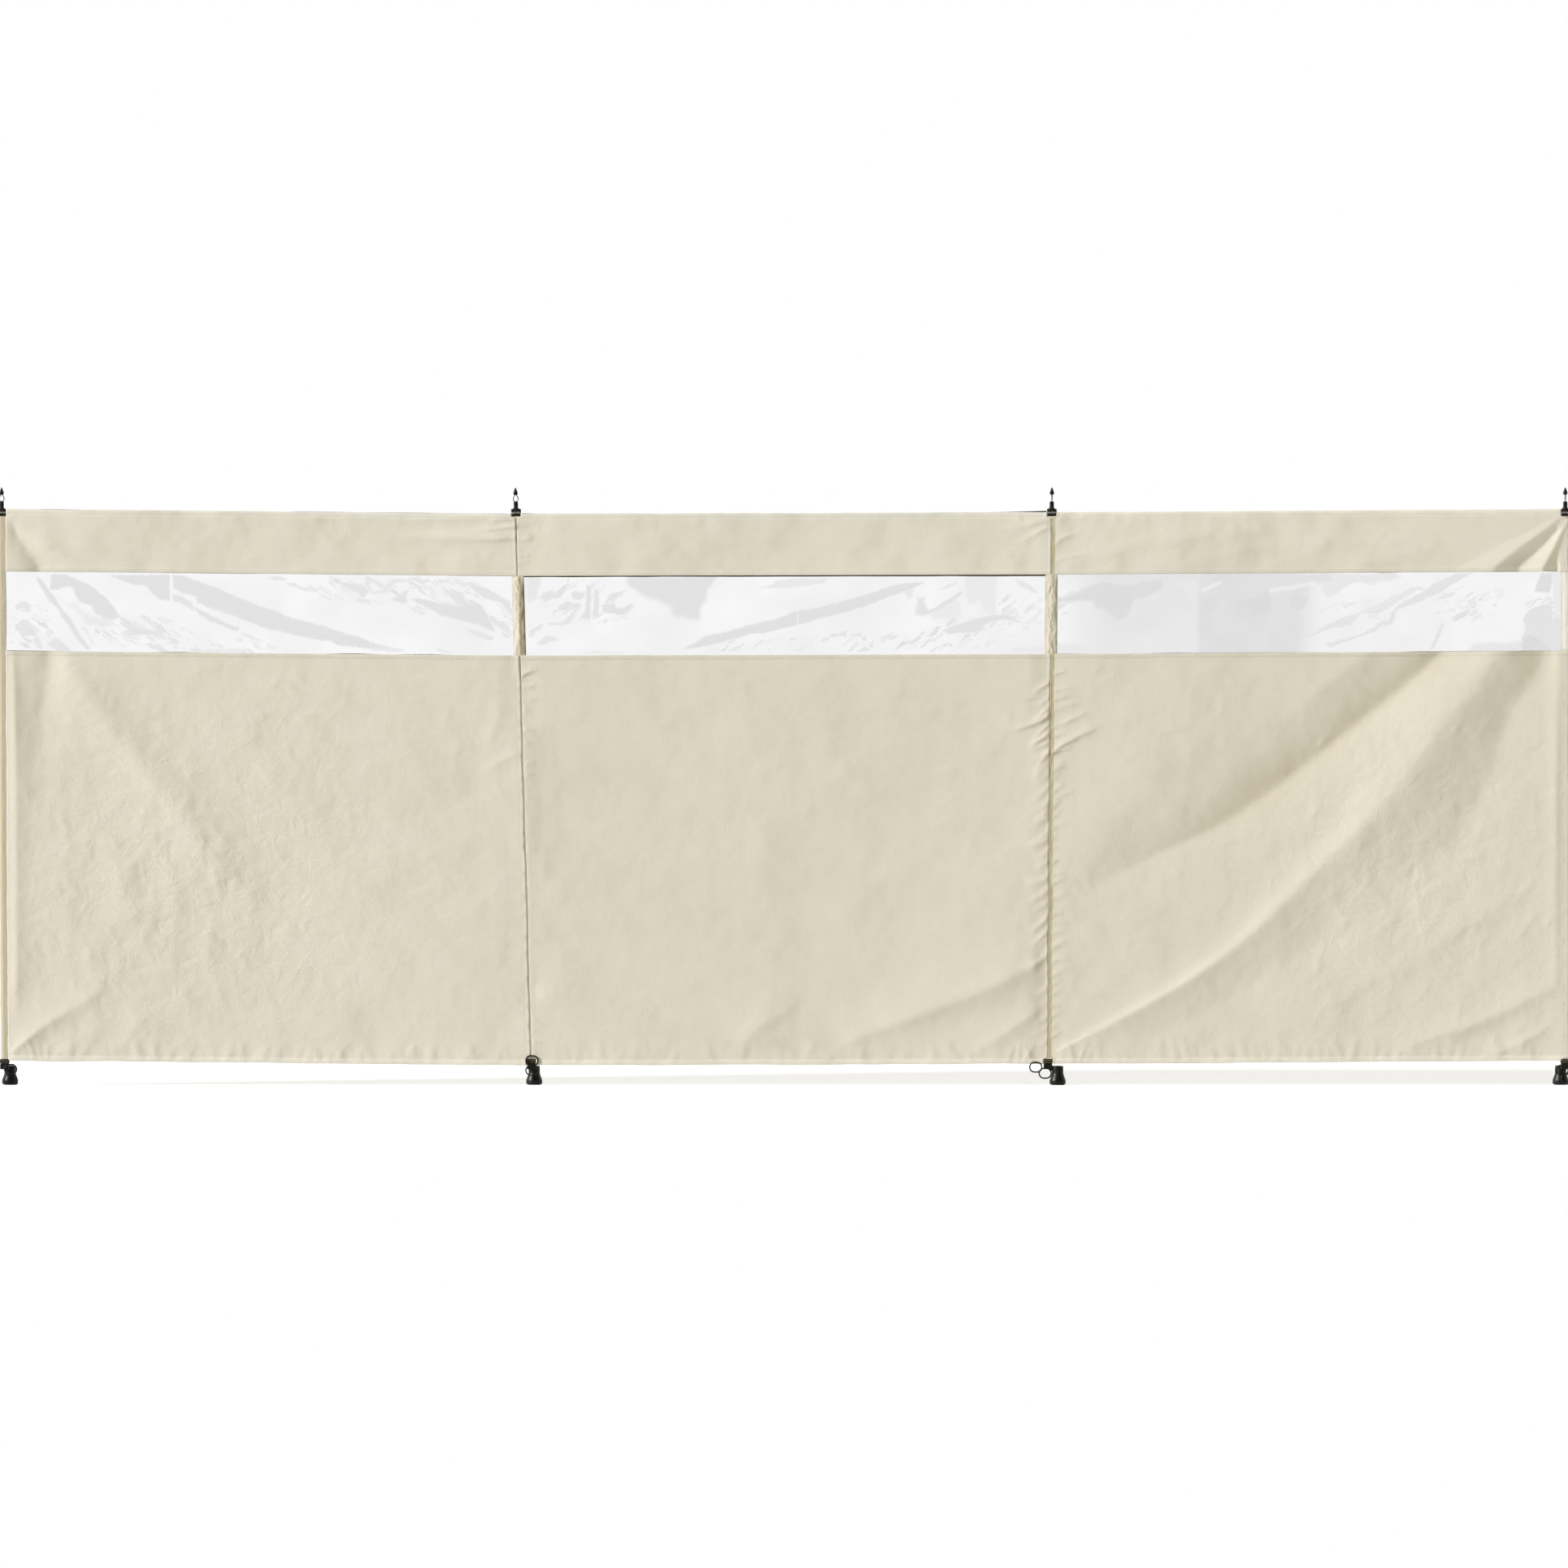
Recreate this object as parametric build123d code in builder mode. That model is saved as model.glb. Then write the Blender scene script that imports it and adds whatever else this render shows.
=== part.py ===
"""Beach windbreak: a cloth wall in three bays with clear windows, carried by four steel poles.

Each pole stands in a sewn sleeve, a pocket on the back of the cloth. A webbing band closes the sleeve at both ends, a moulded foot with
two peg rings hangs under the lower band, and an eye pin with a pointed cap stands on the upper one.
Frame: +X along the wall, +Z up, the people sheltered behind it on the +Y side. The origin is the centre
of the flat sole of the first foot. Lengths are in millimetres, angles in degrees.
"""

import os
from math import cos, hypot, radians, sin, tan

from build123d import *

# ---- The wall -------------------------------------------------------------------------------------
bay_spans = (1318.0, 1332.0, 1305.0)  # pole to pole at half height; the middle bay is the tight one
pole_leans = (-0.3, -1.6, 0.4, 0.0)  # sideways lean of each pole, positive to the right
hem_rises = (8.0, -4.0, 0.0, 8.0)  # lower edge of the cloth above the underside of each tube

lower_cloth_height = 1037.0
window_height = 201.0
upper_cloth_height = 158.0
hem_width = 11.0
cloth_thickness = 1.0
hem_thickness = 2.4
film_thickness = 0.5

# ---- Poles and sleeves ----------------------------------------------------------------------------
pole_radius = 8.0
pole_wall = 0.8
swage_clearance = 0.1  # the lower tube is drawn in and pushed into the upper one
swage_length = 70.0
lower_tube_length = 681.0
tube_inset = 3.0  # the tube ends this far under the highest top hem

sleeve_clearance = 0.4
sleeve_cloth = 1.0
seam_reach = 16.5  # from the pole's axis to the seam where the panels start
seam_margin = 1.5  # the sleeve's pocket ends this far inside the seam
seam_slit = 0.4  # thickness of the pocket where its two layers meet

# ---- Webbing bands --------------------------------------------------------------------------------
band_width = 25.0
band_layer = 2.2
band_corner = 4.5
band_clearance = 0.3
foot_band_height = 12.0
top_band_height = 19.0
top_band_rise = 4.0  # how far the upper band stands above the tube

# ---- Moulded feet ---------------------------------------------------------------------------------
ring_half_width = 17.0
ring_half_height = 14.0
ring_rim = 3.5
ring_thickness = 3.5
ring_edge = 0.9
ring_ground_clearance = 1.5  # two rings that hang straight down clear the ground by this
ring_band_clearance = 0.5
ring_shifts = (16.0, 0.0, -7.0, -9.0)  # first ring along the wall from the pole
ring_sides = (-1, 1, -1, -1)  # the first ring hangs down or is flipped up
ring_laps = (14.0, 8.0, 4.0, 12.0)  # its rim above the underside of the head that carries it
ring_turns = (-90.0, -90.0, 147.0, -62.0)  # direction from the first ring to the second

head_width = 22.0  # block under the band
head_height = 14.0
head_corner = 3.0
plug_clearance = 0.2
plug_length = 15.0
shoe_drop = 5.0  # top of the shoe under the top of the head
shoe_neck_radius = 14.5
shoe_skirt_radius = 20.5
shoe_edge_radius = 15.5  # edge of the flat sole
shoe_skirt_heights = (3.0, 12.0)  # lower and upper edge of the skirt
shoe_neck_rise = 20.0  # length of the straight neck
shoe_top_edge = 2.0
rib_thickness = 10.0
shoe_places = ((12.0, 19.0), (5.0, 19.0), (25.0, 0.0), (-10.0, 19.0))  # from the pole: along, behind

# ---- Pole tops ------------------------------------------------------------------------------------
collar_plug_length = 20.0
collar_flange = 5.0
collar_radius = 5.6
collar_height = 17.0
pin_clearance = 0.2
pin_radius = 1.8
pin_depth = 6.0
eye_half_width = 7.5
eye_nose_radius = 5.0
eye_length = 20.0
eye_flat = 1.0  # depth of the flats on the collar and under the cap
eye_rim = 2.6
eye_thickness = 4.0
eye_turns = (0.0, 0.0, 90.0, 90.0)  # which way each eye faces
cap_radius = 5.5
cap_height = 18.5
cap_skirt = 6.0  # straight part of the cap
cap_nose = 1.2

# ---- Derived places -------------------------------------------------------------------------------
cloth_height = lower_cloth_height + window_height + upper_cloth_height
pole_foot_height = 4 * ring_half_height - ring_rim + ring_ground_clearance  # measured up the pole
pole_top = pole_foot_height + max(hem_rises) + cloth_height - tube_inset
swage_height = pole_foot_height + lower_tube_length
swage_radius = pole_radius - pole_wall - swage_clearance
shoe_height = pole_foot_height - shoe_drop
band_depth = 2 * (pole_radius + band_clearance + band_layer)
head_depth = band_depth + 2 * ring_band_clearance
eye_height = eye_length - 2 * eye_flat
lean_height = (pole_foot_height + pole_top) / 2  # the spans are measured here
wall_y = -shoe_places[0][1]
pole_spots = [tan(radians(pole_leans[0])) * lean_height - shoe_places[0][0]]
for span in bay_spans:
    pole_spots.append(pole_spots[-1] + span)
pole_count = len(pole_spots)
pole_bore = pole_radius - pole_wall
cloth_reach = pole_radius + sleeve_clearance + sleeve_cloth / 2  # from a pole's axis forward to the cloth
seam_pocket = seam_reach - seam_margin  # how far the pocket reaches along the cloth
cloth_plane = Plane(origin=(0, wall_y - cloth_reach, 0), x_dir=(1, 0, 0), z_dir=(0, -1, 0))


def axis_x(index, height):
    """Where a pole's axis is along the wall, at a height above the ground."""
    return pole_spots[index] + tan(radians(pole_leans[index])) * (height - lean_height)


def pole_plane(index, height, turn=0.0):
    """The plane across a pole at a height measured up the pole, turned about its axis."""
    lean = radians(pole_leans[index])
    axis = Axis((axis_x(index, 0), wall_y, 0), (sin(lean), 0, cos(lean)))
    x_dir = Vector(cos(lean), 0, -sin(lean)).rotate(axis, turn)
    return Plane(origin=axis.position, x_dir=x_dir, z_dir=axis.direction).offset(height)


def upright_plane(index, turn=0.0):
    """The plane that holds a pole's axis: x across the pole, y up it, turned about the axis."""
    across = pole_plane(index, 0, turn)
    return Plane(origin=across.origin, x_dir=across.x_dir, z_dir=-across.y_dir)


def save(part, name):
    part.label = name
    export_step(part, f"parts/{name}.step")


os.makedirs("parts", exist_ok=True)


# ---- Cloth and windows ----------------------------------------------------------------------------
def seam_point(index, side, level):
    """A point on the seam beside a pole, at a level above the lower edge of the cloth."""
    height = pole_foot_height + hem_rises[index] + level
    return (axis_x(index, height) + side * seam_reach / cos(radians(pole_leans[index])), height)


def panel_outline(bay, low, high):
    """Corners of the strip of a bay between two levels of the cloth."""
    return [
        seam_point(bay, 1, low),
        seam_point(bay + 1, -1, low),
        seam_point(bay + 1, -1, high),
        seam_point(bay, 1, high),
    ]


for bay in range(len(bay_spans)):
    with BuildPart() as lower_cloth:
        with BuildSketch(cloth_plane):
            with BuildLine():
                Polyline(*panel_outline(bay, 0, lower_cloth_height), close=True)
            make_face()
        extrude(amount=cloth_thickness / 2, both=True)
        with BuildSketch(cloth_plane):
            with BuildLine():
                Polyline(*panel_outline(bay, 0, hem_width), close=True)
            make_face()
        extrude(amount=hem_thickness / 2, both=True)
    save(lower_cloth.part, f"lower_cloth_{bay + 1}")

    window_low = lower_cloth_height
    window_high = lower_cloth_height + window_height
    with BuildPart() as window:
        with BuildSketch(cloth_plane):
            with BuildLine():
                Polyline(*panel_outline(bay, window_low, window_high), close=True)
            make_face()
        extrude(amount=film_thickness / 2, both=True)
    save(window.part, f"window_{bay + 1}")

    with BuildPart() as upper_cloth:
        with BuildSketch(cloth_plane):
            with BuildLine():
                Polyline(*panel_outline(bay, window_high, cloth_height), close=True)
            make_face()
        extrude(amount=cloth_thickness / 2, both=True)
        with BuildSketch(cloth_plane):
            with BuildLine():
                Polyline(*panel_outline(bay, cloth_height - hem_width, cloth_height), close=True)
            make_face()
        extrude(amount=hem_thickness / 2, both=True)
    save(upper_cloth.part, f"upper_cloth_{bay + 1}")


# ---- Poles ----------------------------------------------------------------------------------------
for index in range(pole_count):
    with BuildPart() as pole:
        with BuildSketch(upright_plane(index)) as tube_walls:
            with BuildLine():
                low = pole_foot_height
                Polyline(
                    (pole_bore, low),
                    (pole_radius, low),
                    (pole_radius, swage_height),
                    (pole_radius, pole_top),
                    (pole_bore, pole_top),
                    (pole_bore, swage_height + swage_length),
                    (swage_radius - pole_wall, swage_height + swage_length),
                    (swage_radius - pole_wall, swage_height - pole_wall),
                    (pole_bore, swage_height - 2 * pole_wall),
                    close=True,
                )
            make_face()
        revolve(axis=Axis(pole_plane(index, 0).origin, pole_plane(index, 0).z_dir))
    save(pole.part, f"pole_{index + 1}")


# ---- Sleeves --------------------------------------------------------------------------------------
def seam_sides(index):
    """The sides of a pole that carry a panel: an end pole has one."""
    return [side for side in (-1, 1) if 0 <= index + (side - 1) // 2 < len(bay_spans)]


slit_y = (seam_slit + sleeve_cloth) / 2 - cloth_reach
sleeve_low = pole_foot_height + foot_band_height
sleeve_high = pole_top + top_band_rise - top_band_height
for index in range(pole_count):
    with BuildPart() as sleeve:
        with BuildSketch(pole_plane(index, sleeve_low)):
            Circle(pole_radius + sleeve_clearance + sleeve_cloth)
            for side in seam_sides(index):
                with Locations((side * (seam_reach - sleeve_cloth), -cloth_reach)):
                    Rectangle(2 * sleeve_cloth, sleeve_cloth)
            make_hull()
        extrude(amount=sleeve_high - sleeve_low)
        with BuildSketch(pole_plane(index, sleeve_low)):
            Circle(pole_radius + sleeve_clearance)
            for side in seam_sides(index):
                with Locations((side * (seam_pocket - seam_slit / 2), slit_y)):
                    Rectangle(seam_slit, seam_slit)
            make_hull()
        extrude(amount=sleeve_high - sleeve_low, mode=Mode.SUBTRACT)
    save(sleeve.part, f"sleeve_{index + 1}")


# ---- Webbing bands --------------------------------------------------------------------------------
def webbing_band(index, low, height):
    """A closed band of webbing round the pole, between the sleeve and the fitting beyond it."""
    with BuildPart() as band:
        with BuildSketch(pole_plane(index, low)) as band_outline:
            Rectangle(band_width, band_depth)
            chamfer(band_outline.vertices(), length=band_corner)
            Circle(pole_radius + band_clearance, mode=Mode.SUBTRACT)
        extrude(amount=height)
    return band.part


for index in range(pole_count):
    save(webbing_band(index, pole_foot_height, foot_band_height), f"foot_band_{index + 1}")
    save(webbing_band(index, sleeve_high, top_band_height), f"top_band_{index + 1}")


# ---- Feet -----------------------------------------------------------------------------------------
head_low = pole_foot_height - head_height
for index in range(pole_count):
    along, behind = shoe_places[index]
    shoe_x = axis_x(index, 0) + along
    shoe_y = wall_y + behind
    shoe_axis = Axis((shoe_x, shoe_y, 0), (0, 0, 1))
    reach = hypot(along, behind)
    rib_plane = Plane(
        origin=(axis_x(index, 0), wall_y, 0), x_dir=(along, behind, 0), z_dir=(behind, -along, 0)
    )
    with BuildPart() as foot:
        with BuildSketch(pole_plane(index, head_low)):
            RectangleRounded(head_width, head_depth, head_corner)
        extrude(amount=head_height)
        with BuildSketch(pole_plane(index, pole_foot_height)):
            Circle(pole_bore - plug_clearance)
        extrude(amount=plug_length)
        with BuildSketch(Plane(origin=(shoe_x, shoe_y, 0), x_dir=(1, 0, 0), z_dir=(0, -1, 0))):
            with BuildLine():
                Polyline(
                    (0, 0),
                    (shoe_edge_radius, 0),
                    (shoe_skirt_radius, shoe_skirt_heights[0]),
                    (shoe_skirt_radius, shoe_skirt_heights[1]),
                    (shoe_neck_radius, shoe_height - shoe_neck_rise),
                    (shoe_neck_radius, shoe_height - shoe_top_edge),
                    (shoe_neck_radius - shoe_top_edge, shoe_height),
                    (0, shoe_height),
                    close=True,
                )
            make_face()
        revolve(axis=shoe_axis)
        with BuildSketch(rib_plane):
            with BuildLine():
                Polyline(
                    (0, head_low),
                    (reach, shoe_height - shoe_neck_rise),
                    (reach, shoe_height - shoe_top_edge),
                    (0, shoe_height),
                    close=True,
                )
            make_face()
        extrude(amount=rib_thickness / 2, both=True)
    save(foot.part, f"foot_{index + 1}")

# ---- Peg rings ------------------------------------------------------------------------------------
heads_front = wall_y - head_depth / 2


def ring_radius(turn):
    """About the outer radius of an oval ring in one direction."""
    return (ring_half_width * ring_half_height) / hypot(
        ring_half_height * cos(radians(turn)), ring_half_width * sin(radians(turn))
    )


with BuildPart() as ring:
    with BuildSketch(Plane.XZ):
        centre_distance = 2 * (ring_half_width - ring_half_height)
        SlotCenterToCenter(centre_distance, 2 * ring_half_height)
        SlotCenterToCenter(centre_distance, 2 * (ring_half_height - ring_rim), mode=Mode.SUBTRACT)
    extrude(amount=ring_thickness)
    faces = ring.faces().filter_by(Axis.Y)
    chamfer([edge for face in faces for edge in face.outer_wire().edges()], length=ring_edge)

for index in range(pole_count):
    turn = ring_turns[index]
    apart = 2 * ring_radius(turn) - ring_rim
    first_x = axis_x(index, 0) + ring_shifts[index]
    first_z = head_low + ring_laps[index] + ring_sides[index] * ring_half_height
    second_x = first_x + apart * cos(radians(turn))
    second_z = first_z + apart * sin(radians(turn))
    with BuildPart() as rings:
        with Locations((first_x, heads_front, first_z), (second_x, heads_front, second_z)):
            add(ring.part)
    save(rings.part, f"peg_rings_{index + 1}")


# ---- Pole tops ------------------------------------------------------------------------------------
collar_top = pole_top + collar_flange + collar_height
eye_top = collar_top + eye_height
eye_low_centre = collar_top - eye_flat + eye_half_width
eye_high_centre = eye_top + eye_flat - eye_nose_radius
for index in range(pole_count):
    axis = Axis(pole_plane(index, 0).origin, pole_plane(index, 0).z_dir)
    with BuildPart() as collar:
        with BuildSketch(upright_plane(index)):
            with BuildLine():
                Polyline(
                    (0, pole_top - collar_plug_length),
                    (pole_bore - plug_clearance, pole_top - collar_plug_length),
                    (pole_bore - plug_clearance, pole_top),
                    (pole_radius, pole_top),
                    (pole_radius, pole_top + collar_flange),
                    (collar_radius, pole_top + collar_flange + collar_radius / 2),
                    (collar_radius, collar_top),
                    (0, collar_top),
                    close=True,
                )
            make_face()
        revolve(axis=axis)
        with BuildSketch(pole_plane(index, collar_top)):
            Circle(pin_radius + pin_clearance)
        extrude(amount=-pin_depth, mode=Mode.SUBTRACT)
    save(collar.part, f"collar_{index + 1}")

    with BuildPart() as eye_pin:
        with BuildSketch(upright_plane(index, eye_turns[index])):
            for rim, mode in ((0, Mode.ADD), (eye_rim, Mode.SUBTRACT)):
                with BuildSketch(Plane.XY, mode=Mode.PRIVATE) as drop:
                    with Locations((0, eye_low_centre)):
                        Circle(eye_half_width - rim)
                    with Locations((0, eye_high_centre)):
                        Circle(eye_nose_radius - rim)
                    make_hull()
                add(drop.sketch, mode=mode)
            with Locations((0, (collar_top + eye_top) / 2)):
                Rectangle(2 * eye_half_width, eye_height, mode=Mode.INTERSECT)
        extrude(amount=eye_thickness / 2, both=True)
        with BuildSketch(pole_plane(index, eye_top - pin_radius / 2)):
            Circle(pin_radius)
        extrude(amount=pin_depth + pin_radius / 2)
        with BuildSketch(pole_plane(index, collar_top - pin_depth)):
            Circle(pin_radius)
        extrude(amount=pin_depth + pin_radius / 2)
    save(eye_pin.part, f"eye_pin_{index + 1}")

    with BuildPart() as tip_cap:
        with BuildSketch(upright_plane(index)):
            with BuildLine():
                Polyline(
                    (0, eye_top),
                    (cap_radius, eye_top),
                    (cap_radius, eye_top + cap_skirt),
                    (cap_nose, eye_top + cap_height - cap_nose),
                    (0, eye_top + cap_height),
                    close=True,
                )
            make_face()
        revolve(axis=axis)
        with BuildSketch(pole_plane(index, eye_top)):
            Circle(pin_radius + pin_clearance)
        extrude(amount=pin_depth, mode=Mode.SUBTRACT)
    save(tip_cap.part, f"tip_cap_{index + 1}")
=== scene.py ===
# %% [markdown]
# # A beach windbreak
# A windbreak is a wall of cloth on poles that keeps the wind off the people behind it. This one has three
# bays, a strip of clear film near the top of each so that the people can see out, and four steel poles in
# sleeves. The frame that loads here holds every part at its right size and place. This lesson makes the
# cloth, film, sewing and finishes that a solid model can't hold. All its lengths are millimetres until a
# mesh is made.

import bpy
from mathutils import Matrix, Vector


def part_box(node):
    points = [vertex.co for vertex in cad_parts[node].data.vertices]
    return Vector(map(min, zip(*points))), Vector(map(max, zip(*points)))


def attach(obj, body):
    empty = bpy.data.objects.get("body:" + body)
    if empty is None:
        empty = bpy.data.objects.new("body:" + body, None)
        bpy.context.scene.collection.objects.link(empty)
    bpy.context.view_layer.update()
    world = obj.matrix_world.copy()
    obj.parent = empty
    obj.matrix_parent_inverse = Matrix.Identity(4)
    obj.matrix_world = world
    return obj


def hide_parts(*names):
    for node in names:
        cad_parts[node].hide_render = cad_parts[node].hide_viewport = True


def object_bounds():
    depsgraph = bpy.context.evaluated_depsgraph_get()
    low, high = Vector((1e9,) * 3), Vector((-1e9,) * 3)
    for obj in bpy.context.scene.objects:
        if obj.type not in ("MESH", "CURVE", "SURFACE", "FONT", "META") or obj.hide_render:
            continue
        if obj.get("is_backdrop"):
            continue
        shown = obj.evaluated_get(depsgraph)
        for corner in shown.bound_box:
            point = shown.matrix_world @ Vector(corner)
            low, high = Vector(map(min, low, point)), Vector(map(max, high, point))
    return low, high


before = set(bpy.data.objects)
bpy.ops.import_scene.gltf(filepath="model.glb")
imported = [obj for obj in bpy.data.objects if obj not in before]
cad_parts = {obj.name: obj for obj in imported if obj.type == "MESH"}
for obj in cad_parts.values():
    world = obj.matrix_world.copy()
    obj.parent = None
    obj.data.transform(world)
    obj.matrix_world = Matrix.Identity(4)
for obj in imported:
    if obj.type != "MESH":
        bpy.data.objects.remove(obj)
cad_box = [list(corner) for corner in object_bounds()]
print("the model measures", [round(high - low, 3) for low, high in zip(*cad_box)], "m")

# %% Python's own tools
from math import atan2, cos, pi, radians, sin

import bpy
import numpy as np
from mathutils import Vector

# %% [markdown]
# # Reading places from the model
# The wall hangs on four poles, and each leans a little its own way. Every seam follows a pole, so the
# poles' axes are read from their meshes first. The cloth's edges are read from the corners of the flat
# panels, which the draped ones replace.

# %% Poles and edges of the cloth
POLES = range(4)
BAYS = range(3)


def points_of(name):
    """The corners of a CAD part, in millimetres."""
    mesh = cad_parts[name].data
    flat = np.empty(len(mesh.vertices) * 3)
    mesh.vertices.foreach_get("co", flat)
    return flat.reshape(-1, 3) * 1000


axes = []
for pole in POLES:
    corners = points_of(f"pole_{pole + 1}")
    foot = corners[corners[:, 2] < corners[:, 2].min() + 0.7].mean(axis=0)
    top = corners[corners[:, 2] > corners[:, 2].max() - 0.7].mean(axis=0)
    axes.append((foot, top))


def axis_x(pole, height):
    """Where a pole's axis is along the wall, at a height."""
    foot, top = axes[pole]
    return foot[0] + (top[0] - foot[0]) * (height - foot[2]) / (top[2] - foot[2])


POLE_Y = float(axes[0][0][1])
panel = points_of("lower_cloth_2")
CLOTH_Y = float((panel[:, 1].min() + panel[:, 1].max()) / 2)


def edge_heights(name):
    """Lowest and highest corner at the left end and at the right end of a panel."""
    corners = points_of(name)
    middle = corners[:, 0].mean()
    ends = [corners[corners[:, 0] < middle][:, 2], corners[corners[:, 0] > middle][:, 2]]
    return [(float(end.min()), float(end.max())) for end in ends]


print("poles at", [round(float(axis_x(pole, 750)), 1) for pole in POLES], "cloth at y", round(CLOTH_Y, 1))

# %% [markdown]
# # Camera
# The wall is seen square on, from its middle and from far away, so that the bays don't shrink to the sides.
# A long lens does that: twenty metres off, the two ends of the wall are seen under almost the same angle.

# %% A long lens, square to the wall
VIEW_WIDTH = 3968.3  # how much of the wall's plane is seen
VIEW_MIDDLE_X, VIEW_MIDDLE_Z = 1961.0, 762.0
LENS, FILM_BACK = 200.0, 36.0
lens = bpy.data.cameras.new("long_lens")
lens.lens, lens.sensor_width = LENS, FILM_BACK
distance = VIEW_WIDTH * LENS / FILM_BACK
camera = bpy.data.objects.new("camera", lens)
camera.location = (VIEW_MIDDLE_X / 1000, (CLOTH_Y - distance) / 1000, VIEW_MIDDLE_Z / 1000)
camera.rotation_euler = (radians(90), 0, 0)
lens.clip_end = 200
bpy.context.collection.objects.link(camera)
bpy.context.scene.camera = camera
print("camera", round(distance / 1000, 2), "m from the cloth")

# %% [markdown]
# # Colours and nodes
# A hex colour is written for a screen, and the renderer counts light, so one function turns hex to linear.
# The other helper adds one shader node: it makes it, sets its settings, and fills each input with a number,
# a colour or the output of another node.

# %% Helpers for every material
def linear(hex_colour):
    """A screen colour such as #DAD4C1 as linear red, green, blue and opacity."""
    parts = [int(hex_colour[i : i + 2], 16) / 255 for i in (1, 3, 5)]
    return [p / 12.92 if p <= 0.04045 else ((p + 0.055) / 1.055) ** 2.4 for p in parts] + [1.0]


def node(tree, kind, inputs=(), **settings):
    """Adds a shader node with its settings, and fills its inputs. A node there means its first output."""
    made = tree.nodes.new("ShaderNode" + kind)
    for name, value in settings.items():
        setattr(made, name, value)
    for name, value in dict(inputs).items():
        if isinstance(value, bpy.types.Node):
            value = value.outputs[0]
        if isinstance(value, bpy.types.NodeSocket):
            tree.links.new(value, made.inputs[name])
        else:
            made.inputs[name].default_value = value
    return made


MIX_A, MIX_B, MIXED = 6, 7, 2  # the Mix node's two colour inputs and its colour output


def blank_material(name):
    """A material with an empty node tree."""
    material = bpy.data.materials.new(name)
    material.use_nodes = True
    material.node_tree.nodes.clear()
    return material, material.node_tree


def wave_scale(spacing):
    """The Wave texture's Scale for bands this many millimetres apart."""
    return 2 * pi / 20 / (spacing / 1000)


def noise_scale(size):
    """The Noise texture's Scale for marks about this many millimetres wide."""
    return 1000 / size


print("mid grey is", round(linear("#808080")[0], 3), "of full light")

# %% [markdown]
# # Light
# Daylight on a beach is half sky and half sun. A world of even light stands for the sky, and a soft sun
# lamp high on the left rakes over the wall, so that each fold shows a bright side and a dim side. The two
# add up to one on a surface that faces the front, and then a colour looks as it is written. A weaker lamp
# lights the back. What the lens, gloss and clear film see behind the wall is plain white.

# %% Sky and two lamps
SKY, SUN, BACK_SUN = 0.42, 0.56, 0.34
sun_turn, sun_height = radians(65), radians(24)

world = bpy.data.worlds.new("studio")
bpy.context.scene.world = world
world.use_nodes = True
sky = world.node_tree
sky.nodes.clear()
path = node(sky, "LightPath")
seen = node(sky, "Math", {0: path.outputs["Is Camera Ray"], 1: path.outputs["Is Transmission Ray"]},
            operation="MAXIMUM")
direction = node(sky, "TexCoord")
apart = node(sky, "SeparateXYZ", {0: direction.outputs["Generated"]})
# Gloss that looks away from the camera sees the white behind the wall.
# Gloss that looks towards the camera sees a dim studio.
behind = node(sky, "MapRange", {0: apart.outputs["Y"], 1: -0.35, 2: 0.25, 3: 0.12, 4: 1.0},
              interpolation_type="SMOOTHSTEP")
glossy = node(sky, "Math", {0: path.outputs["Is Glossy Ray"], 1: behind}, operation="MULTIPLY")
even = node(sky, "Math", {0: 1.0, 1: path.outputs["Is Glossy Ray"]}, operation="SUBTRACT")
even = node(sky, "Math", {0: even, 1: SKY}, operation="MULTIPLY")
unseen = node(sky, "Math", {0: glossy, 1: even}, operation="ADD")
strength = node(sky, "Math", {0: seen, 1: unseen}, operation="MAXIMUM")
tint = node(sky, "Mix", {0: seen, MIX_A: linear("#FFFCF4"), MIX_B: linear("#FFFFFF")}, data_type="RGBA")
shine = node(sky, "Background", {"Color": tint.outputs[MIXED], "Strength": strength})
node(sky, "OutputWorld", {"Surface": shine})


def sun_lamp(name, towards, energy, softness):
    """A sun lamp whose light comes from the direction towards, with a softness in degrees."""
    lamp = bpy.data.lights.new(name, "SUN")
    lamp.energy, lamp.angle = energy, radians(softness)
    stand = bpy.data.objects.new(name, lamp)
    stand.rotation_euler = Vector(towards).to_track_quat("Z", "Y").to_euler()
    stand.location = Vector(towards) * 5
    bpy.context.collection.objects.link(stand)


facing = cos(sun_turn) * cos(sun_height)
front_sun = (-sin(sun_turn) * cos(sun_height), -facing, sin(sun_height))
back_sun = (0.35, 0.72, 0.6)
sun_lamp("front_sun", front_sun, SUN * pi / facing, softness=9)
sun_lamp("back_sun", back_sun, BACK_SUN * pi / back_sun[1], softness=40)
print("the front gets", SKY + SUN, "of full light")

# %% [markdown]
# # Floor
# The wall stands on a plain pale floor that fades into the white world. The floor takes the shadows of the
# feet. A camera ray gets a little extra from an emission, which lights nothing else, so that the floor
# reads as white.

# %% Pale floor
FLOOR_GLOW = 0.43  # what a camera ray gets on top

floor_paint, tree = blank_material("pale_floor_paint")
grain = node(tree, "TexNoise", {"Scale": noise_scale(60.0), "Detail": 3.0})
tint = node(tree, "Mix", {0: grain.outputs["Fac"], MIX_A: linear("#CDCDCC"), MIX_B: linear("#D1D1D0")},
            data_type="RGBA")
paint = node(tree, "BsdfDiffuse", {"Color": tint.outputs[MIXED]})
path = node(tree, "LightPath")
glow = node(tree, "Math", {0: path.outputs["Is Camera Ray"], 1: FLOOR_GLOW}, operation="MULTIPLY")
lift = node(tree, "Emission", {"Color": linear("#FFFFFF"), "Strength": glow})
both = node(tree, "AddShader", {0: paint, 1: lift})
node(tree, "OutputMaterial", {"Surface": both})

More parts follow.
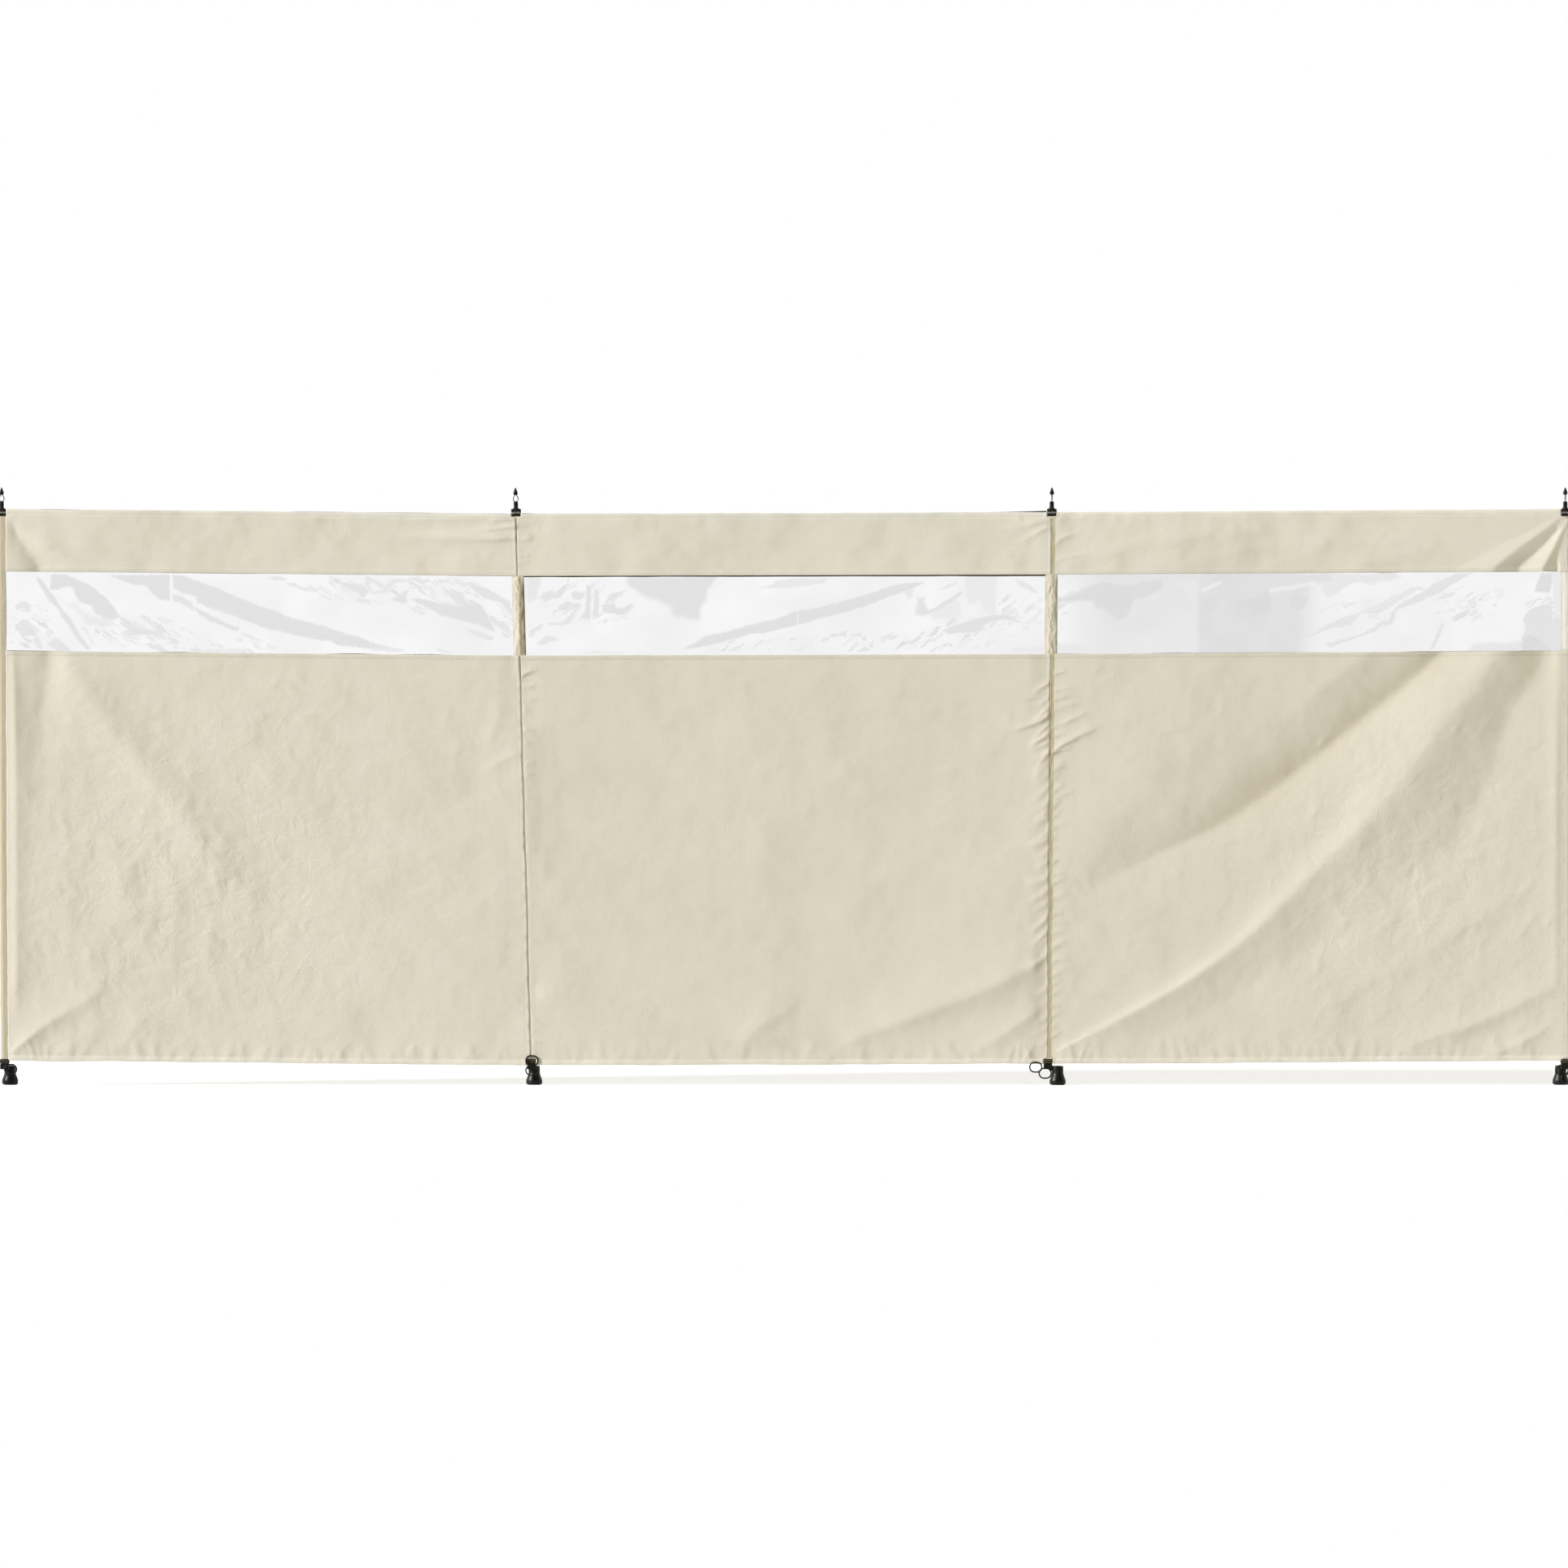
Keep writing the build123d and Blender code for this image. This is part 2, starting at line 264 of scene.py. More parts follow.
floor_corners = [(-6, -5, 0), (10, -5, 0), (10, 6, 0), (-6, 6, 0)]  # in metres, well past the wall
floor_mesh = bpy.data.meshes.new("floor")
floor_mesh.from_pydata(floor_corners, [], [(0, 1, 2, 3)])
floor_mesh.materials.append(floor_paint)
floor = bpy.data.objects.new("floor", floor_mesh)
bpy.context.collection.objects.link(floor)
floor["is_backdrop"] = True
print("floor laid")

# %% [markdown]
# # Meshes from arrays
# A sheet of cloth with folds has tens of thousands of corners, and numpy works all of them out at once. A
# sheet is a grid of rows up the wall and columns along it, with a front and a back skin joined round the
# rim, so that it is a closed thin body like real cloth. The back skin has fewer corners, and lies just
# behind the front one.

# %% From grid to closed sheet
def add_mesh(name, corners, faces, material, slot, crease=40.0, marks=None):
    """Makes an object that rides with the wall, from corners in millimetres."""
    mesh = bpy.data.meshes.new(name)
    mesh.from_pydata((np.asarray(corners) / 1000).tolist(), [], [list(map(int, face)) for face in faces])
    mesh.materials.append(material)
    mesh.shade_smooth()
    mesh.set_sharp_from_angle(angle=radians(crease))
    for mark, values in (marks or {}).items():
        layer = mesh.attributes.new(mark, "FLOAT", "POINT")
        layer.data.foreach_set("value", np.asarray(values, dtype=np.float32).ravel())
    piece = bpy.data.objects.new(name, mesh)
    bpy.context.collection.objects.link(piece)
    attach(piece, "root")
    return piece


def grid_faces(rows, columns, start=0, flip=False, loop=False):
    """Quads of a grid of corners that are numbered row by row."""
    numbers = np.arange(rows * columns).reshape(rows, columns) + start
    if loop:
        numbers = np.hstack([numbers, numbers[:, :1]])
    quads = np.stack([numbers[:-1, :-1], numbers[:-1, 1:], numbers[1:, 1:], numbers[1:, :-1]], axis=-1)
    quads = quads.reshape(-1, 4)
    return quads[:, ::-1] if flip else quads


def rim_of(rows, columns, start=0):
    """Numbers of the corners round a grid's rim, in order."""
    numbers = np.arange(rows * columns).reshape(rows, columns) + start
    return np.concatenate([numbers[0, :], numbers[1:, -1], numbers[-1, -2::-1], numbers[-2:0:-1, 0]])


def rim_faces(front, back):
    """Triangles between the rim of a front grid and the rim of a back grid that has fewer corners."""
    every = len(front) // len(back)
    made = []
    for k, corner in enumerate(back):
        onward = back[(k + 1) % len(back)]
        run = [front[(k * every + m) % len(front)] for m in range(every + 1)]
        half = every // 2
        made += [(run[m + 1], run[m], corner) for m in range(half)]
        made.append((run[half], corner, onward))
        made += [(run[m + 1], run[m], onward) for m in range(half, every)]
    return made


def farthest(y, every):
    """The back skin's depth at every second or fourth corner: behind everything in front of it."""
    padded = np.pad(y, every, mode="edge")
    rows, columns = y.shape
    shifts = range(2 * every + 1)
    found = np.max([padded[i : i + rows, j : j + columns] for i in shifts for j in shifts], axis=0)
    return found[::every, ::every]


def closed_sheet(name, x, y_front, y_back, z, material, slot, marks=None, back_marks=None, every=2):
    """A thin closed body: a fine front skin, and a back skin with fewer corners."""
    rows, columns = x.shape
    behind = farthest(y_back, every)
    front = np.stack([x, y_front, z], axis=-1).reshape(-1, 3)
    back = np.stack([x[::every, ::every], behind, z[::every, ::every]], axis=-1).reshape(-1, 3)
    faces = grid_faces(rows, columns).tolist()
    faces += grid_faces(*behind.shape, start=len(front), flip=True).tolist()
    faces += rim_faces(rim_of(rows, columns), rim_of(*behind.shape, start=len(front)))
    both = {}
    for mark, values in (marks or {}).items():
        seen_behind = (back_marks or {}).get(mark, values)
        both[mark] = np.concatenate([values.ravel(), (seen_behind + 0 * values)[::every, ::every].ravel()])
    return add_mesh(name, np.vstack([front, back]), faces, material, slot, marks=both)


print("a grid of 5 by 5 corners has", len(rim_of(5, 5)), "on its rim")

# %% Unevenness and crinkles
def soft_step(value, low, high):
    """0 below low, 1 above high, with a smooth rise between."""
    t = np.clip((value - low) / (high - low), 0, 1)
    return t * t * (3 - 2 * t)


LATTICE = 97  # how many random values there are each way before they repeat


def mottle(x, z, size, seed):
    """Soft unevenness from -1 to 1, in patches about this many millimetres wide."""
    values = np.random.default_rng(seed).uniform(-1, 1, (LATTICE, LATTICE))
    u, v = x / size + 500.3, z / size + 500.7
    left, low = np.floor(u).astype(int), np.floor(v).astype(int)
    s, t = soft_step(u - left, 0, 1), soft_step(v - low, 0, 1)
    left, right = left % LATTICE, (left + 1) % LATTICE
    low, high = low % LATTICE, (low + 1) % LATTICE
    below = values[left, low] * (1 - s) + values[right, low] * s
    above = values[left, high] * (1 - s) + values[right, high] * s
    return below * (1 - t) + above * t


def creased(x, z, size, seed, stretch=1.0):
    """Crinkles: noise folded over at its middle, so that it has sharp creases, from 0 to 1."""
    u = x + size * 0.5 * mottle(x, z, size * 1.3, seed + 50)
    v = z + size * 0.5 * mottle(x, z, size * 1.3, seed + 60)
    return 1 - np.abs(mottle(u, v * stretch, size, seed))


print("unevenness of", LATTICE, "by", LATTICE, "values")

# %% [markdown]
# # Folds
# A cloth simulation would hang this wall its own way, but the folds of this one are known: a fan of creases
# from the top right corner, where the last guy rope pulls, long soft folds down the first bay, and slack
# along the bottom. So each fold is drawn as a tailor would chalk it, as a line across the wall. A row is a
# point on it: x and z in millimetres, how far the fold stands out (or lies back), how far each flank runs
# out to the left and right of the line, and how round its crest is. The height of the cloth is the sum of
# them all.

# %% Chalk lines of the large folds
FOLDS = [
    ((3945, 1455, 0, 4, 4, 2), (3870, 1375, -5, 14, 14, 5), (3830, 1310, -8, 26, 22, 8),
     (3615, 1085, -11, 40, 52, 11), (3375, 885, -12, 42, 70, 12), (3130, 700, -9, 40, 80, 12),
     (2935, 600, -6, 30, 70, 12), (2800, 535, -3, 30, 70, 14), (2680, 480, 0, 30, 70, 16)),
    ((3945, 1440, 0, 4, 4, 2), (3910, 1375, 4, 12, 12, 5), (3885, 1310, 7, 24, 16, 10),
     (3765, 1085, 10, 70, 50, 40), (3630, 915, 11, 80, 60, 40), (3530, 775, 11.5, 85, 60, 35),
     (3405, 635, 10, 80, 32, 20), (3305, 540, 8, 75, 30, 18), (3220, 455, 7.5, 75, 27, 14),
     (3105, 350, 7.5, 72, 22, 8), (2985, 265, 7.5, 70, 18, 4), (2845, 185, 6.5, 55, 15, 2),
     (2645, 80, 2, 20, 6, 1)),
    ((3945, 1400, 0, 4, 4, 2), (3925, 1310, -5, 14, 10, 5), (3880, 1085, -6, 44, 60, 22),
     (3800, 940, -6, 42, 80, 24), (3745, 795, -5, 42, 90, 26), (3675, 650, -4, 44, 100, 30),
     (3510, 495, -3, 50, 120, 30), (3345, 385, -3, 50, 120, 30), (3180, 280, -3, 40, 100, 25),
     (2955, 155, -2, 30, 60, 20), (2810, 85, 0, 20, 40, 10)),
    ((3925, 1105, 1.5, 22, 12, 8), (3920, 690, 2.5, 26, 12, 8), (3920, 300, 1.5, 22, 12, 8),
     (3925, 200, 0, 20, 10, 8)),
    ((3510, 75, 0, 16, 14, 8), (3585, 115, 3.5, 30, 20, 8), (3735, 165, 4, 32, 22, 8),
     (3870, 230, 2.5, 26, 18, 8), (3930, 255, 0, 20, 12, 8)),
    ((3705, 65, 0, 14, 12, 6), (3775, 85, 2.2, 22, 16, 6), (3860, 125, 2.4, 22, 16, 6),
     (3925, 180, 0, 16, 12, 6)),
    ((3560, 310, 0, 20, 20, 12), (3635, 375, 2, 26, 26, 12), (3745, 440, 1.5, 26, 26, 12),
     (3795, 495, 0, 20, 20, 12)),
    ((3230, 940, 0, 30, 30, 16), (3305, 995, 1, 30, 30, 16), (3410, 1070, 1.4, 30, 30, 16),
     (3550, 1185, 1.2, 30, 26, 14), (3675, 1295, 0.8, 26, 22, 12), (3820, 1380, 0, 16, 16, 8)),
    ((2645, 1310, 0, 20, 20, 10), (2710, 1325, 1.8, 20, 24, 10), (2895, 1375, 2.2, 24, 30, 12),
     (3265, 1410, 1.4, 24, 30, 12), (3470, 1430, 0, 20, 20, 10)),
    ((2995, 1330, 0, 20, 20, 10), (3180, 1365, 1.5, 24, 26, 12), (3470, 1375, 1.8, 24, 26, 12),
     (3590, 1390, 0, 20, 20, 10)),
    ((3345, 1295, 0, 20, 20, 10), (3470, 1330, 2, 24, 26, 12), (3655, 1375, 1.8, 24, 26, 12),
     (3860, 1430, 0, 16, 16, 10)),
    ((2645, 405, 0, 40, 40, 20), (2730, 570, 1.5, 60, 60, 30), (2850, 735, 2, 60, 60, 30),
     (3015, 900, 1.2, 60, 60, 30), (3140, 1000, 0, 40, 40, 20)),
    ((3180, 140, 0, 30, 30, 15), (3345, 210, 1.6, 40, 40, 20), (3510, 300, 1.6, 40, 40, 20),
     (3590, 365, 0, 30, 30, 15)),
    ((5, 1105, 1.5, 10, 26, 8), (10, 980, 3.4, 14, 34, 8), (15, 690, 2.8, 16, 36, 10),
     (15, 485, 3, 16, 40, 10), (15, 280, 3.2, 16, 40, 10), (5, 160, 0, 12, 20, 8)),
    ((-5, 1445, 0, 5, 5, 3), (25, 1385, -4, 16, 20, 8), (75, 1310, -7, 26, 26, 12),
     (100, 1205, -7, 30, 30, 20), (105, 1080, -6, 30, 30, 20), (90, 960, -5, 28, 40, 20),
     (85, 775, -2, 28, 40, 20), (85, 670, 0, 24, 40, 20)),
    ((120, 1145, 0, 30, 30, 20), (165, 1040, 5, 45, 40, 22), (255, 910, 6, 50, 44, 25),
     (345, 795, 7, 52, 46, 25), (440, 680, 7, 50, 46, 25), (520, 580, 5, 46, 46, 25),
     (595, 465, 2.5, 40, 46, 25), (655, 385, 0, 30, 40, 20)),
    ((40, 1410, 0, 10, 10, 6), (105, 1375, 1.5, 14, 12, 6), (235, 1345, 1.8, 18, 16, 8),
     (305, 1325, 0, 14, 12, 8)),
    ((40, 1400, 0, 10, 10, 6), (100, 1360, 1.8, 14, 12, 6), (180, 1310, 2, 18, 16, 8),
     (285, 1235, 1.5, 20, 20, 10), (345, 1185, 0, 14, 12, 8)),
    ((225, 650, 0, 13, 13, 10), (245, 610, 1, 18, 21, 10), (290, 510, 1.6, 21, 23, 10),
     (320, 415, 1.4, 21, 23, 10), (360, 320, 0.8, 18, 21, 10), (380, 270, 0, 13, 13, 10)),
    ((390, 590, 0, 13, 13, 10), (400, 550, 0.9, 16, 18, 10), (425, 450, 1.2, 16, 18, 10),
     (415, 335, 1, 16, 18, 10), (425, 220, 0.8, 16, 18, 10), (435, 170, 0, 13, 13, 10)),
    ((440, 670, 0, 13, 13, 10), (465, 630, 1, 18, 18, 10), (515, 530, 1, 18, 18, 10),
     (575, 405, 0.8, 18, 18, 10), (595, 355, 0, 13, 13, 10)),
    ((470, 425, 0, 10, 10, 8), (485, 390, 0.8, 13, 16, 8), (505, 335, 0.7, 13, 16, 8),
     (515, 300, 0, 10, 10, 8)),
    ((140, 495, 0, 13, 13, 10), (150, 445, 1, 16, 18, 10), (155, 335, 1, 16, 18, 10),
     (160, 250, 0, 13, 13, 10)),
    ((220, 405, 0, 13, 13, 10), (225, 355, 1, 16, 18, 10), (230, 250, 1, 16, 18, 10),
     (245, 180, 0, 13, 13, 10)),
    ((-5, 75, 0, 6, 6, 4), (20, 95, 4, 14, 14, 5), (90, 150, 5, 20, 20, 6), (180, 205, 3, 20, 22, 8),
     (255, 250, 0, 14, 14, 6)),
    ((100, 70, 0, 10, 10, 8), (150, 90, 1.6, 18, 18, 10), (205, 125, 1.6, 18, 21, 10),
     (255, 155, 0, 13, 13, 10)),
    ((245, 70, 0, 10, 10, 8), (285, 100, 1.3, 16, 18, 10), (320, 150, 1.3, 16, 18, 10),
     (345, 190, 0, 13, 13, 10)),
    ((735, 610, 0, 40, 40, 20), (900, 475, 1.8, 50, 50, 25), (1105, 320, 2.2, 50, 50, 25),
     (1230, 235, 2, 40, 40, 20), (1310, 200, 0, 20, 20, 10)),
    ((655, 1040, 0, 60, 60, 30), (840, 835, 1.6, 70, 70, 40), (1045, 610, 1.6, 70, 70, 40),
     (1210, 445, 0, 60, 60, 30)),
    ((390, 1105, 0, 40, 40, 20), (595, 900, 1.8, 60, 60, 30), (755, 690, 1.8, 60, 60, 30),
     (880, 530, 0, 50, 50, 30)),
    ((1275, 1440, 1.5, 8, 10, 4), (1210, 1435, 2, 10, 12, 5), (1065, 1430, 1.6, 12, 14, 6),
     (940, 1430, 0, 10, 10, 6)),
    ((1275, 1385, 1.5, 10, 8, 4), (1210, 1390, 3.4, 16, 12, 5), (1085, 1390, 2.6, 16, 14, 6),
     (900, 1390, 0, 12, 10, 6)),
    ((1275, 1410, -1.5, 6, 6, 3), (1235, 1410, -1, 8, 8, 4), (1190, 1405, 0, 6, 6, 3)),
    ((655, 1440, 0, 10, 10, 5), (755, 1435, 1.2, 12, 12, 6), (900, 1435, 0, 10, 10, 5)),
    ((1310, 235, 1.4, 20, 16, 8), (1375, 220, 4.1, 30, 20, 8), (1550, 175, 4.6, 34, 22, 8),
     (1725, 135, 4.1, 30, 20, 8), (1895, 105, 3.4, 26, 16, 8), (1990, 95, 0, 20, 12, 8)),
    ((2090, 95, 0, 20, 12, 8), (2160, 125, 4.7, 50, 24, 8), (2320, 185, 7.4, 64, 34, 10),
     (2485, 250, 7.4, 64, 38, 10), (2585, 300, 4.7, 44, 30, 8), (2630, 330, 0, 20, 16, 6)),
    ((2400, 65, 0, 16, 14, 6), (2495, 115, 2.7, 24, 18, 8), (2575, 170, 3.4, 26, 20, 8),
     (2630, 205, 0, 16, 12, 6)),
    ((1825, 85, 0, 16, 16, 6), (1885, 140, 2.7, 30, 26, 10), (1950, 180, 2, 30, 26, 10),
     (2000, 220, 0, 20, 20, 10)),
    ((2030, 960, 0, 60, 60, 30), (2195, 940, -1.2, 60, 60, 30), (2400, 920, -1.6, 60, 60, 30),
     (2525, 940, 0, 60, 60, 30)),
    ((1310, 960, 0, 30, 30, 15), (1395, 795, -1.2, 40, 50, 20), (1395, 590, -1.2, 40, 50, 20),
     (1335, 465, 0, 30, 30, 15)),
]
print(len(FOLDS), "large folds")

# %% Height of the cloth over its flat pattern
def smooth_line(rows, steps=5):
    """More rows between the given ones, on a smooth curve through them."""
    rows = np.asarray(rows, dtype=float)
    padded = np.vstack([2 * rows[0] - rows[1], rows, 2 * rows[-1] - rows[-2]])
    line = []
    for a, b, c, d in zip(padded[:-3], padded[1:-2], padded[2:-1], padded[3:]):
        for t in np.arange(steps) / steps:
            curve = 2 * b + (c - a) * t + (2 * a - 5 * b + 4 * c - d) * t**2
            place = 0.5 * (curve + (3 * b - a - 3 * c + d) * t**3)
            sizes = b + (c - b) * t * t * (3 - 2 * t)
            line.append(np.append(place[:2], sizes[2:]))
    return np.array(line + [rows[-1]])


def fold_height(line, x, z):
    """How far one fold lifts the cloth at each point: the lift of the nearest stretch of its line."""
    start, run = line[:-1, :, None], np.diff(line, axis=0)[:, :, None]
    length = np.hypot(run[:, 0], run[:, 1]) + 1e-9
    along = np.clip(((x - start[:, 0]) * run[:, 0] + (z - start[:, 1]) * run[:, 1]) / length**2, 0, 1)
    off_x, off_z = x - start[:, 0] - along * run[:, 0], z - start[:, 1] - along * run[:, 1]
    away = np.hypot(off_x, off_z)
    left = 0.5 + 0.5 * np.tanh((run[:, 0] * off_z - run[:, 1] * off_x) / length / 3)
    depth, wide_left, wide_right, round_off = (start[:, k] + run[:, k] * along for k in (2, 3, 4, 5))
    flank = wide_left * left + wide_right * (1 - left)
    height = depth * np.exp(-(np.sqrt(away**2 + round_off**2) - round_off) / flank)
    nearest = away.min(axis=0)
    share = np.exp(-(away - nearest) / (2 + 0.12 * nearest))
    return (height * share).sum(axis=0) / share.sum(axis=0)


def add_folds(lines, x, z, reach=4.5):
    """The sum of many folds at each point of a grid."""
    total = np.zeros(x.size)
    flat_x, flat_z = x.ravel(), z.ravel()
    for line in lines:
        margin = line[:, 3:5].max() * reach
        near = (flat_x > line[:, 0].min() - margin) & (flat_x < line[:, 0].max() + margin)
        near &= (flat_z > line[:, 1].min() - margin) & (flat_z < line[:, 1].max() + margin)
        total[near] += fold_height(line, flat_x[near], flat_z[near])
    return total.reshape(x.shape)


large_folds = [smooth_line(rows) for rows in FOLDS]
print(sum(map(len, large_folds)), "places on the large folds")

# %% [markdown]
# # Puckers
# Thread pulls cloth together, so short creases start at every seam and die away within a few centimetres.
# They are too many to chalk one by one. A seeded random number generator sets them out along each seam,
# within the spacing, length and slant that its sewing gives, and it gives the same ones in every run.

# %% Short creases from the seams and hems
BAY_WIDTH = 1310.0  # about as far as one pole is from the next
chance = np.random.default_rng(12)


def pucker(x, z, turn, length, depth, wide):
    """A short crease from (x, z) in the direction turn, in degrees."""
    share = np.array([0.0, 0.2, 0.6, 1.0])
    bend = chance.uniform(-14, 14)
    headings = np.radians(turn + bend * share)
    rows = [
        (x + length * s * np.cos(a), z + length * s * np.sin(a), depth * d,
         wide * w, wide * w * 0.8, wide * 0.45)
        for s, a, d, w in zip(share, headings, (0.75, 1.0, 0.6, 0.0), (0.6, 0.9, 1.1, 1.2))
    ]
    return smooth_line(rows, steps=3)


def puckers_up(pole, side, low, high, apart, length, slant, depth, wide=5.0):
    """Creases along a pole's seam between two heights; a positive slant climbs away from the pole."""
    made, z = [], low
    while z < high:
        turn = slant + chance.uniform(-12, 12)
        size = chance.uniform(0.45, 1.0)
        made.append(pucker(axis_x(pole, z) + side * 3, z, turn if side > 0 else 180 - turn, length * size,
                           depth * chance.uniform(0.5, 1.0), wide * chance.uniform(0.8, 1.3)))
        z += apart * chance.uniform(0.6, 1.4)
    return made


def hem_height(bay, kind, top, x):
    """Height of a panel's upper or lower edge at a place along the wall."""
    (left, right), pick = edge_heights(f"{kind}_cloth_{bay + 1}"), (1 if top else 0)
    reach = (x - axis_x(bay, left[pick])) / (axis_x(bay + 1, right[pick]) - axis_x(bay, left[pick]))
    return left[pick] + (right[pick] - left[pick]) * reach


def puckers_along(bay, top, apart, length, depth, wide=6.0):
    """Creases along a hem, up from the bottom one or down from the top one."""
    kind = "upper" if top else "lower"
    made, x = [], axis_x(bay, 700) + 30
    while x < axis_x(bay + 1, 700) - 30:
        turn = 90 + chance.uniform(-28, 28)
        z = hem_height(bay, kind, top, x) + (-9 if top else 9)
        made.append(pucker(x, z, -turn if top else turn, length * chance.uniform(0.5, 1.0),
                           depth * chance.uniform(0.3, 1.0), wide * chance.uniform(0.8, 1.4)))
        x += apart * chance.uniform(0.5, 1.5)
    return made


def creases(bay, count, turn, spread, low, high, start, end, depth):
    """Small creases scattered over part of a bay, most of them in one direction."""
    made = []
    for _ in range(count):
        x = axis_x(bay, 700) + BAY_WIDTH * chance.uniform(start, end)
        made.append(pucker(x, chance.uniform(low, high), turn + chance.normal(0, spread),
                           chance.uniform(25, 90), depth * chance.uniform(-0.6, 1.0), chance.uniform(5, 10)))
    return made


print("top hem of the middle bay at", round(hem_height(1, "upper", True, VIEW_MIDDLE_X), 1), "mm")

# %% Creases beside the two middle poles, chalked like the large folds
NEAR_POLES = [
    ((1298, 1035, 2.6, 8, 2.5, 1.2), (1312, 1043, 3.6, 10, 3, 2), (1341, 1052, 0, 10, 5, 3)),
    ((1302, 1009, 1.5, 6, 5, 2), (1318, 1009, 2.2, 6, 5, 2), (1337, 1011, 0, 6, 5, 2)),
    ((1304, 976, 0.8, 4, 5, 2), (1320, 976, 1.6, 5, 5, 2), (1343, 980, 0, 5, 5, 2)),
    ((1302, 1021, -1, 2, 2.5, 1), (1320, 1019, -1.2, 2, 2.5, 1), (1328, 1019, 0, 2, 2.5, 1)),
    ((1285, 1382, 1, 8, 6, 2), (1308, 1382, 2.4, 9, 6, 2), (1337, 1384, 0, 9, 6, 2)),
    ((1287, 1341, 0.8, 3, 3, 1), (1310, 1341, 1, 3, 3, 1), (1318, 1341, 0, 3, 3, 1)),
    ((1287, 1325, 0.9, 3, 2.5, 1), (1310, 1325, 1.2, 3, 2.5, 1), (1318, 1325, 0, 3, 3, 1)),
    ((1283, 1432, -1.2, 2, 2, 1), (1298, 1419, 0, 2, 2, 1)),
    ((1291, 1411, -0.9, 6, 4, 2), (1320, 1409, -1.3, 6, 4, 2), (1337, 1409, 0, 6, 4, 2)),
    ((1127, 1399, 0, 10, 8, 3), (1189, 1403, 1.2, 9, 4, 2), (1226, 1407, 2.4, 8, 3, 1.5),
     (1259, 1411, 3.6, 8, 3, 1), (1279, 1413, 3.2, 8, 3, 1)),
    ((983, 1384, 0, 10, 12, 4), (1127, 1382, 1.5, 9, 9, 3), (1209, 1380, 2.4, 8, 5, 2),
     (1250, 1382, 2.8, 7, 4, 1.5), (1277, 1384, 2, 7, 4, 1.5)),
    ((1209, 1430, 0, 5, 4, 1.5), (1234, 1430, 1.3, 5, 3, 1.2), (1275, 1432, 1.4, 4, 3, 1)),
    ((1004, 1432, 0, 8, 9, 3), (1127, 1438, 1.3, 8, 9, 3), (1226, 1444, 1.6, 7, 8, 3),
     (1254, 1444, 0.6, 6, 6, 2)),
    ((1287, 1089, 0.8, 3, 5, 1), (1287, 1058, 1.5, 3, 6, 1), (1287, 1025, 0, 3, 6, 1)),
    ((1209, 963, 0, 14, 14, 5), (1240, 939, 1.1, 14, 14, 5), (1222, 887, 1.1, 14, 14, 5),
     (1201, 846, 0, 14, 14, 5)),
    ((1185, 774, 0, 12, 12, 4), (1230, 811, 1.3, 12, 10, 4), (1275, 836, 0.9, 10, 8, 3),
     (1293, 848, 0, 8, 6, 2)),
    ((2645, 986, 0.8, 5, 3.5, 1.5), (2668, 984, 1.4, 6, 3.5, 1.5), (2692, 980, 0, 6, 4, 2)),
    ((2649, 963, 0.4, 6, 5, 2), (2676, 961, 1.7, 6, 4, 2), (2713, 967, 0, 6, 5, 2)),
    ((2647, 904, 0.4, 6, 5, 2), (2680, 922, 2.2, 6, 6, 2), (2709, 935, 1.6, 7, 7, 2),
     (2737, 947, 0, 7, 7, 2)),
    ((2641, 842, 2.6, 8, 3, 1.2), (2663, 859, 3.8, 11, 3.5, 1.5), (2692, 875, 3.4, 12, 6, 2),
     (2725, 893, 2.6, 12, 8, 3), (2770, 914, 0, 12, 9, 4)),
    ((2639, 791, 1.8, 5, 4, 1.2), (2657, 803, 2, 5, 4, 1.5), (2682, 811, 0, 5, 4, 2)),
    ((2641, 721, 1.2, 5, 4, 1.2), (2672, 737, 1.6, 6, 4, 1.5), (2717, 750, 0, 6, 5, 2)),
    ((2530, 898, 0, 12, 6, 3), (2569, 906, 2.4, 11, 4, 2), (2606, 920, 2.8, 9, 4, 1.5),
     (2629, 939, 1.2, 7, 5, 1.5)),
    ((2585, 861, 0, 4, 4, 1.5), (2610, 873, 1.9, 4, 3.5, 1.2), (2629, 881, 1.8, 4, 3.5, 1)),
    ((2573, 809, 0, 6, 5, 2), (2602, 826, 2, 6, 4, 1.5), (2629, 840, 1.8, 5, 4, 1)),
    ((2581, 770, 0, 6, 5, 2), (2606, 783, 1.5, 6, 4, 1.5), (2629, 797, 1.6, 5, 4, 1)),
    ((2561, 967, 0, 4, 7, 2), (2590, 972, -1.5, 3.5, 7, 2), (2622, 974, -1, 3, 6, 1.5)),
    ((2493, 1403, 0, 8, 8, 3), (2561, 1413, 1.4, 8, 7, 2), (2598, 1423, 1.8, 7, 6, 2),
     (2629, 1432, 1, 6, 6, 2)),
    ((2544, 1368, 0, 6, 8, 2), (2581, 1386, 1.5, 6, 8, 2), (2610, 1403, 2.2, 5, 7, 2),
     (2629, 1411, 1.4, 5, 6, 1.5)),
    ((2645, 1362, 1.2, 4, 8, 1.5), (2657, 1380, 2, 5, 9, 2), (2688, 1393, 1.5, 7, 8, 2),
     (2739, 1403, 0, 8, 8, 3)),
    ((2645, 1325, 0.9, 8, 6, 2), (2692, 1339, 1.5, 9, 7, 3), (2781, 1349, 0, 9, 8, 3)),
    ((2639, 1423, -1.5, 4, 4, 1.5), (2649, 1411, -1.9, 4, 4, 1.5), (2651, 1395, 0, 4, 4, 1.5)),
]
pole_folds = [smooth_line(rows, steps=3) for rows in NEAR_POLES]

print(len(pole_folds), "creases beside the middle poles")

